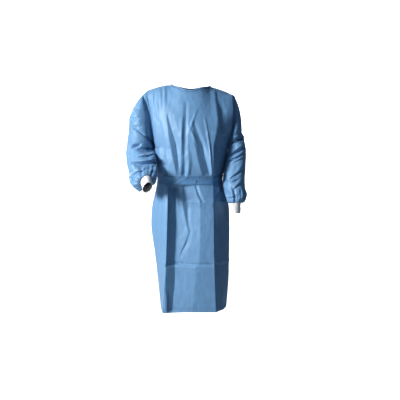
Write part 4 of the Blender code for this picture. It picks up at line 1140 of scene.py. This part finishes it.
class GOWN_OT_belt(bpy.types.Operator):
    """Belt round the waist"""

    bl_idname = "gown.belt"
    bl_label = "Belt"

    def execute(self, context):
        band = belt_grid()
        round_it = np.concatenate([band, band[:, :1]], axis=1)
        piece = mesh_from_grid("gown_belt", band, lengths(round_it, 1), lengths(band, 0), around=True,
                               thickness=0.0007)
        piece.data.materials.append(get_material("belt_cloth"))
        add_piece(piece, ["belt"])
        declare_sheet(band, around=True)
        return {"FINISHED"}


BELT_FOLDS = (
    Fold(-0.080, -0.481, -0.050, -0.466, -0.020, -0.447, 1, 2, 1, 0.006, 0.006, 0.9),
    Fold(-0.090, -0.466, -0.060, -0.458, -0.030, -0.446, 0, -1, -1, 0.006, 0.006, 0.6),
    Fold(0.030, -0.446, 0.060, -0.462, 0.100, -0.472, 0, 1, 1, 0.006, 0.006, 0.8),
    Fold(-0.150, -0.450, -0.125, -0.462, -0.100, -0.476, 0, 1, 0, 0.006, 0.006, 0.8),
)


class GOWN_OT_tack(bpy.types.Operator):
    """Bar tack of thread that holds the belt to the front"""

    bl_idname = "gown.tack"
    bl_label = "Bar tack"

    def execute(self, context):
        bm = bmesh.new()
        for (x1, z1), (x2, z2) in zip(TACK[:-1], TACK[1:]):
            t = np.linspace(0, 1, 12)
            x, z = x1 + (x2 - x1) * t, z1 + (z2 - z1) * t
            y = body_point(x / section("left", z), z, False)[:, 1] - BELT_STAND
            path = np.stack([x, y, z], axis=-1)
            way = unit(path[-1] - path[0])
            turn = Vector(way).to_track_quat("Z", "Y").to_matrix().to_4x4()
            length = float(np.linalg.norm(path[-1] - path[0]))
            bar = Matrix.Translation(path.mean(axis=0)) @ turn @ Matrix.Diagonal((0.0011, 0.0011, length / 2, 1))
            bmesh.ops.create_uvsphere(bm, u_segments=12, v_segments=12, radius=1, matrix=bar)
            for place in path[1:-1]:
                wrap = Matrix.Translation(place) @ turn @ Matrix.Diagonal((0.0018, 0.0016, 0.0006, 1))
                bmesh.ops.create_uvsphere(bm, u_segments=10, v_segments=6, radius=1, matrix=wrap)
        mesh = bpy.data.meshes.new("gown_tack")
        bm.to_mesh(mesh)
        bm.free()
        mesh.shade_smooth()
        piece = bpy.data.objects.new("gown_tack", mesh)
        context.collection.objects.link(piece)
        piece.data.materials.append(get_material("tack"))
        add_piece(piece)
        return {"FINISHED"}


# Lobes of the knot, as shares of half its size. The narrow one is the end that wraps over the rest.
Lobe = namedtuple("Lobe", "x y z wide deep high turn")
KNOT_LOBES = (
    Lobe(-0.46, -0.12, 0.04, 0.50, 0.72, 0.70, 0.35),
    Lobe(0.46, -0.12, 0.04, 0.50, 0.72, 0.70, -0.35),
    Lobe(0.00, 0.06, 0.06, 0.36, 0.90, 0.86, 0.28),
    Lobe(-0.34, 0.00, -0.62, 0.30, 0.56, 0.40, 0.30),
    Lobe(0.32, 0.04, -0.60, 0.28, 0.52, 0.40, -0.30),
)


class GOWN_OT_knot(bpy.types.Operator):
    """Knot of the belt"""

    bl_idname = "gown.knot"
    bl_label = "Knot and ends"

    def execute(self, context):
        low, high = (np.array(c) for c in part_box("belt_knot"))
        centre, size = (low + high) / 2, (high - low) / 2
        bm = bmesh.new()
        for lobe in KNOT_LOBES:
            made = bmesh.ops.create_uvsphere(bm, u_segments=48, v_segments=32, radius=1)
            turn = Matrix.Rotation(lobe.turn, 3, "Y")
            for v in made["verts"]:
                around = math.atan2(v.co.y, v.co.x)
                crease = 1 + 0.045 * math.cos(9 * around + 2.5 * v.co.z) * (1 - abs(v.co.z) ** 3)
                square = Vector([math.copysign(abs(c) ** 0.8, c) for c in v.co]) * crease
                place = turn @ Vector((square.x * lobe.wide, square.y * lobe.deep, square.z * lobe.high))
                place += Vector((lobe.x, lobe.y, lobe.z))
                v.co = [centre[i] + max(-0.99, min(0.99, place[i])) * size[i] for i in range(3)]
        mesh = bpy.data.meshes.new("gown_knot")
        bm.to_mesh(mesh)
        bm.free()
        mesh.shade_smooth()
        mesh.uv_layers.new(name="cloth")
        piece = bpy.data.objects.new("gown_knot", mesh)
        bpy.context.collection.objects.link(piece)
        piece.data.materials.append(get_material("belt_cloth"))
        add_piece(piece, ["belt_knot"])
        return {"FINISHED"}


def tail_grid(tail):
    """Grid of one hanging end of the belt, with its lengthwise waves."""
    middle = BELT_MIDDLE_Z - KNOT_SIZE[2] / 2 - 0.0003
    rows, columns = 90, 17
    t = np.linspace(0, 1, rows)[:, None]
    w = np.linspace(-0.5, 0.5, columns)[None, :]
    width = TAIL_WIDTH * (0.50 + 0.50 * ease(t / 0.25))
    turn = tail.twist * ease((t - 0.15) / 0.6)
    lean = math.copysign(1, tail.lean)
    x = lean * TAIL_ROOT + (tail.lean * (1 - 0.3 * t) + lean * TAIL_SPREAD) * tail.length * t
    z = middle - tail.length * t
    surface = section("back", z) * outline_depth(x / section("right", z))
    y = surface + TAIL_CLEARANCE + tail.lean * 0.03 * np.sin(4 * t)
    cup = 0.0035 * (1 - 4 * w * w) + 0.0012 * np.cos(3 * math.pi * w + 5 * t) * ease((t - 0.05) / 0.2)
    gathers = 0.0022 * np.cos(5 * math.pi * w) * (1 - ease(t / 0.35))
    bend = 0.0016 * np.sin(34 * t + 3 * w) * ease(t / 0.3)
    return np.stack(np.broadcast_arrays(x + w * width * np.cos(turn),
                                        y + cup + gathers + bend + w * width * np.sin(turn), z), axis=-1)


class GOWN_OT_tails(bpy.types.Operator):
    """The belt's two hanging ends"""

    bl_idname = "gown.tails"
    bl_label = "Belt ends"

    def execute(self, context):
        for tail in TAILS:
            points = hold_in(tail_grid(tail), CAD_BOX)
            piece = mesh_from_grid("gown_" + tail.name, points, lengths(points, 1), lengths(points, 0),
                                   thickness=0.0009, outside=-grid_normals(points))
            piece.data.materials.append(get_material("belt_cloth"))
            add_piece(piece, [tail.name])
            declare_sheet(points)
        return {"FINISHED"}


class GOWN_OT_binding(bpy.types.Operator):
    """Tape folded over the neckline"""

    bl_idname = "gown.binding"
    bl_label = "Neck binding"

    def execute(self, context):
        plain_front, plain_back, front, right, left = gown_grids()
        corner = SIDE_STEPS + max(1, round(SIDE_STEPS / 6))
        runs = (left[:, :-corner], front[:, corner:-corner][:, ::-1][:, 1:-1], right[:, corner:])
        top = np.concatenate([run[0] for run in runs])
        below = np.concatenate([run[1] for run in runs])
        fine = np.linspace(0, len(top) - 1, 4 * len(top))
        top, below = (np.stack([np.interp(fine, np.arange(len(p)), p[:, i]) for i in range(3)], axis=-1)
                      for p in (top, below))
        rising = smoothed(unit(unit(smoothed(top - below)) + np.array([0, 0, 0.25])))
        facing = unit(np.cross(unit(np.gradient(top, axis=0)), rising))
        facing *= np.sign((facing * top * np.array([1, 1, 0])).sum(axis=1, keepdims=True))
        pucker = 0.0003 * np.sin(np.arange(len(top)) * 1.7)[:, None]
        start = top + rising * BINDING_GAP
        rows = []
        for share, out in ((-0.12, 0.0012), (0.2, 0.0013), (0.6, 0.0012), (0.92, 0.0009), (1.0, 0.0),
                           (0.92, -0.0009), (0.6, -0.0012), (0.2, -0.0013), (-0.12, -0.0012)):
            rows.append(start + rising * BINDING_WIDTH * share + facing * (out + pucker * np.sign(out)))
        points = np.array(rows)[::-1]
        piece = mesh_from_grid("gown_neck_binding", points, lengths(points, 1), lengths(points, 0),
                               thickness=0.0004, outside=facing[None].repeat(9, axis=0) * 0 + rising[None])
        piece.data.materials.append(get_material("binding_cloth"))
        add_piece(piece, ["neck_binding"])
        declare_sheet(points)
        return {"FINISHED"}


class GOWN_OT_fasteners(bpy.types.Operator):
    """Hook and loop patches between the back panels"""

    bl_idname = "gown.fasteners"
    bl_label = "Fasteners"

    def execute(self, context):
        plain_front, plain_back, front, right, left = gown_grids()
        facing = -grid_normals(right)
        across, down = lengths(right, 1), lengths(right, 0)
        middle = SIDE_STEPS + max(1, round(SIDE_STEPS / 6)) + BACK_NECK_STEPS
        for name, depth in (("fastener_hook", HOOK_DEPTH), ("fastener_loop", LOOP_DEPTH)):
            rows = []
            for at in np.linspace(FASTENER_TOP, FASTENER_LOW, 14):
                i = int(np.searchsorted(down, at)) - 1
                t = (at - down[i]) / (down[i + 1] - down[i])
                place = (right[i] * (1 - t) + right[i + 1] * t)[middle - 3 : middle + 4]
                rows.append(place - facing[i, middle - 3 : middle + 4] * depth)
            points = np.array(rows)
            piece = mesh_from_grid("gown_" + name, points, lengths(points, 1), lengths(points, 0),
                                   thickness=0.0007, outside=facing[:14, middle - 3 : middle + 4])
            piece.data.materials.append(get_material("fastener_tape"))
            add_piece(piece, [name])
            declare_sheet(points)
        return {"FINISHED"}


def sew(bm, path, outward):
    """Stitches of thread along a path that lies on the cloth: a strip cut into lengths and made solid."""
    reach = np.concatenate([[0], np.cumsum(np.linalg.norm(np.diff(path, axis=0), axis=1))])
    count = int(reach[-1] / STITCH_STEP)
    index = np.arange(2 * count)
    at = index // 2 * STITCH_STEP + index % 2 * STITCH_LENGTH
    places, outs = (np.stack([np.interp(at, reach, p[:, i]) for i in range(3)], axis=-1) for p in (path, outward))
    aside = unit(np.cross(np.gradient(places, axis=0), outs)) * STITCH_RADIUS
    run = bmesh.new()
    bmesh.ops.create_grid(run, x_segments=2 * count - 1, y_segments=1, size=1)
    column_of = {v: round((v.co.x + 1) / 2 * (2 * count - 1)) for v in run.verts}
    gaps = [f for f in run.faces if min(column_of[v] for v in f.verts) % 2]
    for v, c in column_of.items():
        v.co = places[c] + outs[c] * STITCH_RADIUS * 2 + aside[c] * math.copysign(1, v.co.y)
    bmesh.ops.delete(run, geom=gaps, context="FACES")
    bmesh.ops.solidify(run, geom=run.faces, thickness=STITCH_RADIUS * 2)
    strip = bpy.data.meshes.new("strip")
    run.to_mesh(strip)
    run.free()
    bm.from_mesh(strip)
    bpy.data.meshes.remove(strip)


def at_distance(points, outside, from_end):
    """The line of a grid at a distance up from its last row."""
    down = lengths(points, 0)
    at = down[-1] - from_end
    i = int(np.searchsorted(down, at)) - 1
    t = (at - down[i]) / (down[i + 1] - down[i])
    return points[i] * (1 - t) + points[i + 1] * t, outside[i]


class GOWN_OT_stitching(bpy.types.Operator):
    """Seams of the gown in thread: hem, sides, shoulders, armholes and back edge"""

    bl_idname = "gown.stitching"
    bl_label = "Stitching"

    def execute(self, context):
        plain_front, plain_back, front, right, left = gown_grids()
        bm = bmesh.new()
        for points, turn in ((front, 1), (right, -1), (left, -1)):
            outside = grid_normals(points) * turn
            sew(bm, *at_distance(points, outside, HEM_TURN - 0.002))
            sew(bm, points[2], outside[2])
        for column in (1, -2):
            sew(bm, front[2:, column], grid_normals(front)[2:, column])
        sew(bm, right[2:, -2], -grid_normals(right)[2:, -2])
        for points, rows in ((belt_grid(), (1, -2)), (sleeve_of("right"), (3, -3)), (sleeve_of("left"), (3, -3))):
            outside = tube_normals(points)
            for row in rows:
                sew(bm, np.concatenate([points[row], points[row, :1]]), np.concatenate([outside[row], outside[row, :1]]))
            if len(points) > SLEEVE_ROWS:
                sew(bm, points[4:-4, 0], outside[4:-4, 0])
        mesh = bpy.data.meshes.new("gown_stitching")
        bm.to_mesh(mesh)
        bm.free()
        mesh.shade_smooth()
        piece = bpy.data.objects.new("gown_stitching", mesh)
        context.collection.objects.link(piece)
        piece.data.materials.append(get_material("thread"))
        add_piece(piece)
        return {"FINISHED"}


class GOWN_OT_stage(bpy.types.Operator):
    """Floor, lights and camera"""

    bl_idname = "gown.stage"
    bl_label = "Stage"

    def execute(self, context):
        for name, turn, place, glow in (
            ("floor", 0.0, (0, 0, FLOOR_Z), 0.65),
            ("backdrop", math.pi / 2, (0, 4.0, FLOOR_Z + 7.9), 1.0),
        ):
            bm = bmesh.new()
            bmesh.ops.create_grid(bm, x_segments=2, y_segments=2, size=8)
            bmesh.ops.rotate(bm, verts=bm.verts, cent=(0, 0, 0), matrix=Matrix.Rotation(turn, 3, "X"))
            bmesh.ops.translate(bm, verts=bm.verts, vec=place)
            mesh = bpy.data.meshes.new(name)
            bm.to_mesh(mesh)
            bm.free()
            mesh.materials.append(stage_material(name + "_paper", glow))
            wall = bpy.data.objects.new(name, mesh)
            context.collection.objects.link(wall)
        world = bpy.data.worlds.new("studio")
        world.use_nodes = True
        world.node_tree.nodes["Background"].inputs["Color"].default_value = (0.52, 0.75, 1.0, 1)
        world.node_tree.nodes["Background"].inputs["Strength"].default_value = 0.18
        context.scene.world = world
        for name, place, size, power in (
            ("key", (-3.40, -2.40, 0.90), 1.1, 183),
            ("top", (-0.9, -1.0, 2.9), 1.2, 9),
            ("behind", (-2.0, 3.2, 1.6), 2.0, 40),
        ):
            lamp = bpy.data.lights.new(name, "AREA")
            lamp.size = size
            lamp.energy = power
            thing = bpy.data.objects.new(name, lamp)
            thing.location = place
            aim = Vector((0, 0, -0.55)) - Vector(place)
            thing.rotation_euler = aim.to_track_quat("-Z", "Y").to_euler()
            context.collection.objects.link(thing)
        context.scene.view_settings.view_transform = "Standard"
        context.scene.view_settings.look = "High Contrast"
        lens = bpy.data.cameras.new("camera")
        lens.sensor_width = 36
        lens.lens = 72.2
        camera = bpy.data.objects.new("camera", lens)
        place = Vector((0.045, -4.0, -0.265))
        camera.location = place
        camera.rotation_euler = (Vector((0.045, 0, -0.565)) - place).to_track_quat("-Z", "Y").to_euler()
        context.collection.objects.link(camera)
        context.scene.camera = camera
        return {"FINISHED"}


class GOWN_PT_panel(bpy.types.Panel):
    """Sizes, colours and pieces of the gown"""

    bl_idname = "GOWN_PT_panel"
    bl_label = "Surgical gown"
    bl_space_type = "VIEW_3D"
    bl_region_type = "UI"
    bl_category = "Gown"

    def draw(self, context):
        layout = self.layout
        cloth = context.scene.gown_cloth
        for name in ("cloth_colour", "belt_colour", "binding_colour", "cuff_colour", "thread_colour", "tack_thread_and_highlight_colour",
                     "fastener_colour", "thickness", "roughness"):
            layout.prop(cloth, name)
        for operator in OPERATORS:
            layout.operator(operator.bl_idname)


OPERATORS = (
    GOWN_OT_body, GOWN_OT_sleeves, GOWN_OT_cuffs, GOWN_OT_belt, GOWN_OT_tack, GOWN_OT_knot, GOWN_OT_tails, GOWN_OT_binding,
    GOWN_OT_fasteners, GOWN_OT_stitching, GOWN_OT_stage,
)
CLASSES = (GownCloth, *OPERATORS, GOWN_PT_panel)


def register():
    for each in CLASSES:
        bpy.utils.register_class(each)
    bpy.types.Scene.gown_cloth = bpy.props.PointerProperty(type=GownCloth)


def unregister():
    del bpy.types.Scene.gown_cloth
    for each in reversed(CLASSES):
        bpy.utils.unregister_class(each)


def main():
    register()
    bpy.ops.gown.body()
    bpy.ops.gown.sleeves()
    bpy.ops.gown.cuffs()
    bpy.ops.gown.belt()
    bpy.ops.gown.tack()
    bpy.ops.gown.knot()
    bpy.ops.gown.tails()
    bpy.ops.gown.binding()
    bpy.ops.gown.fasteners()
    bpy.ops.gown.stitching()
    bpy.ops.gown.stage()


if __name__ == "__main__":
    main()
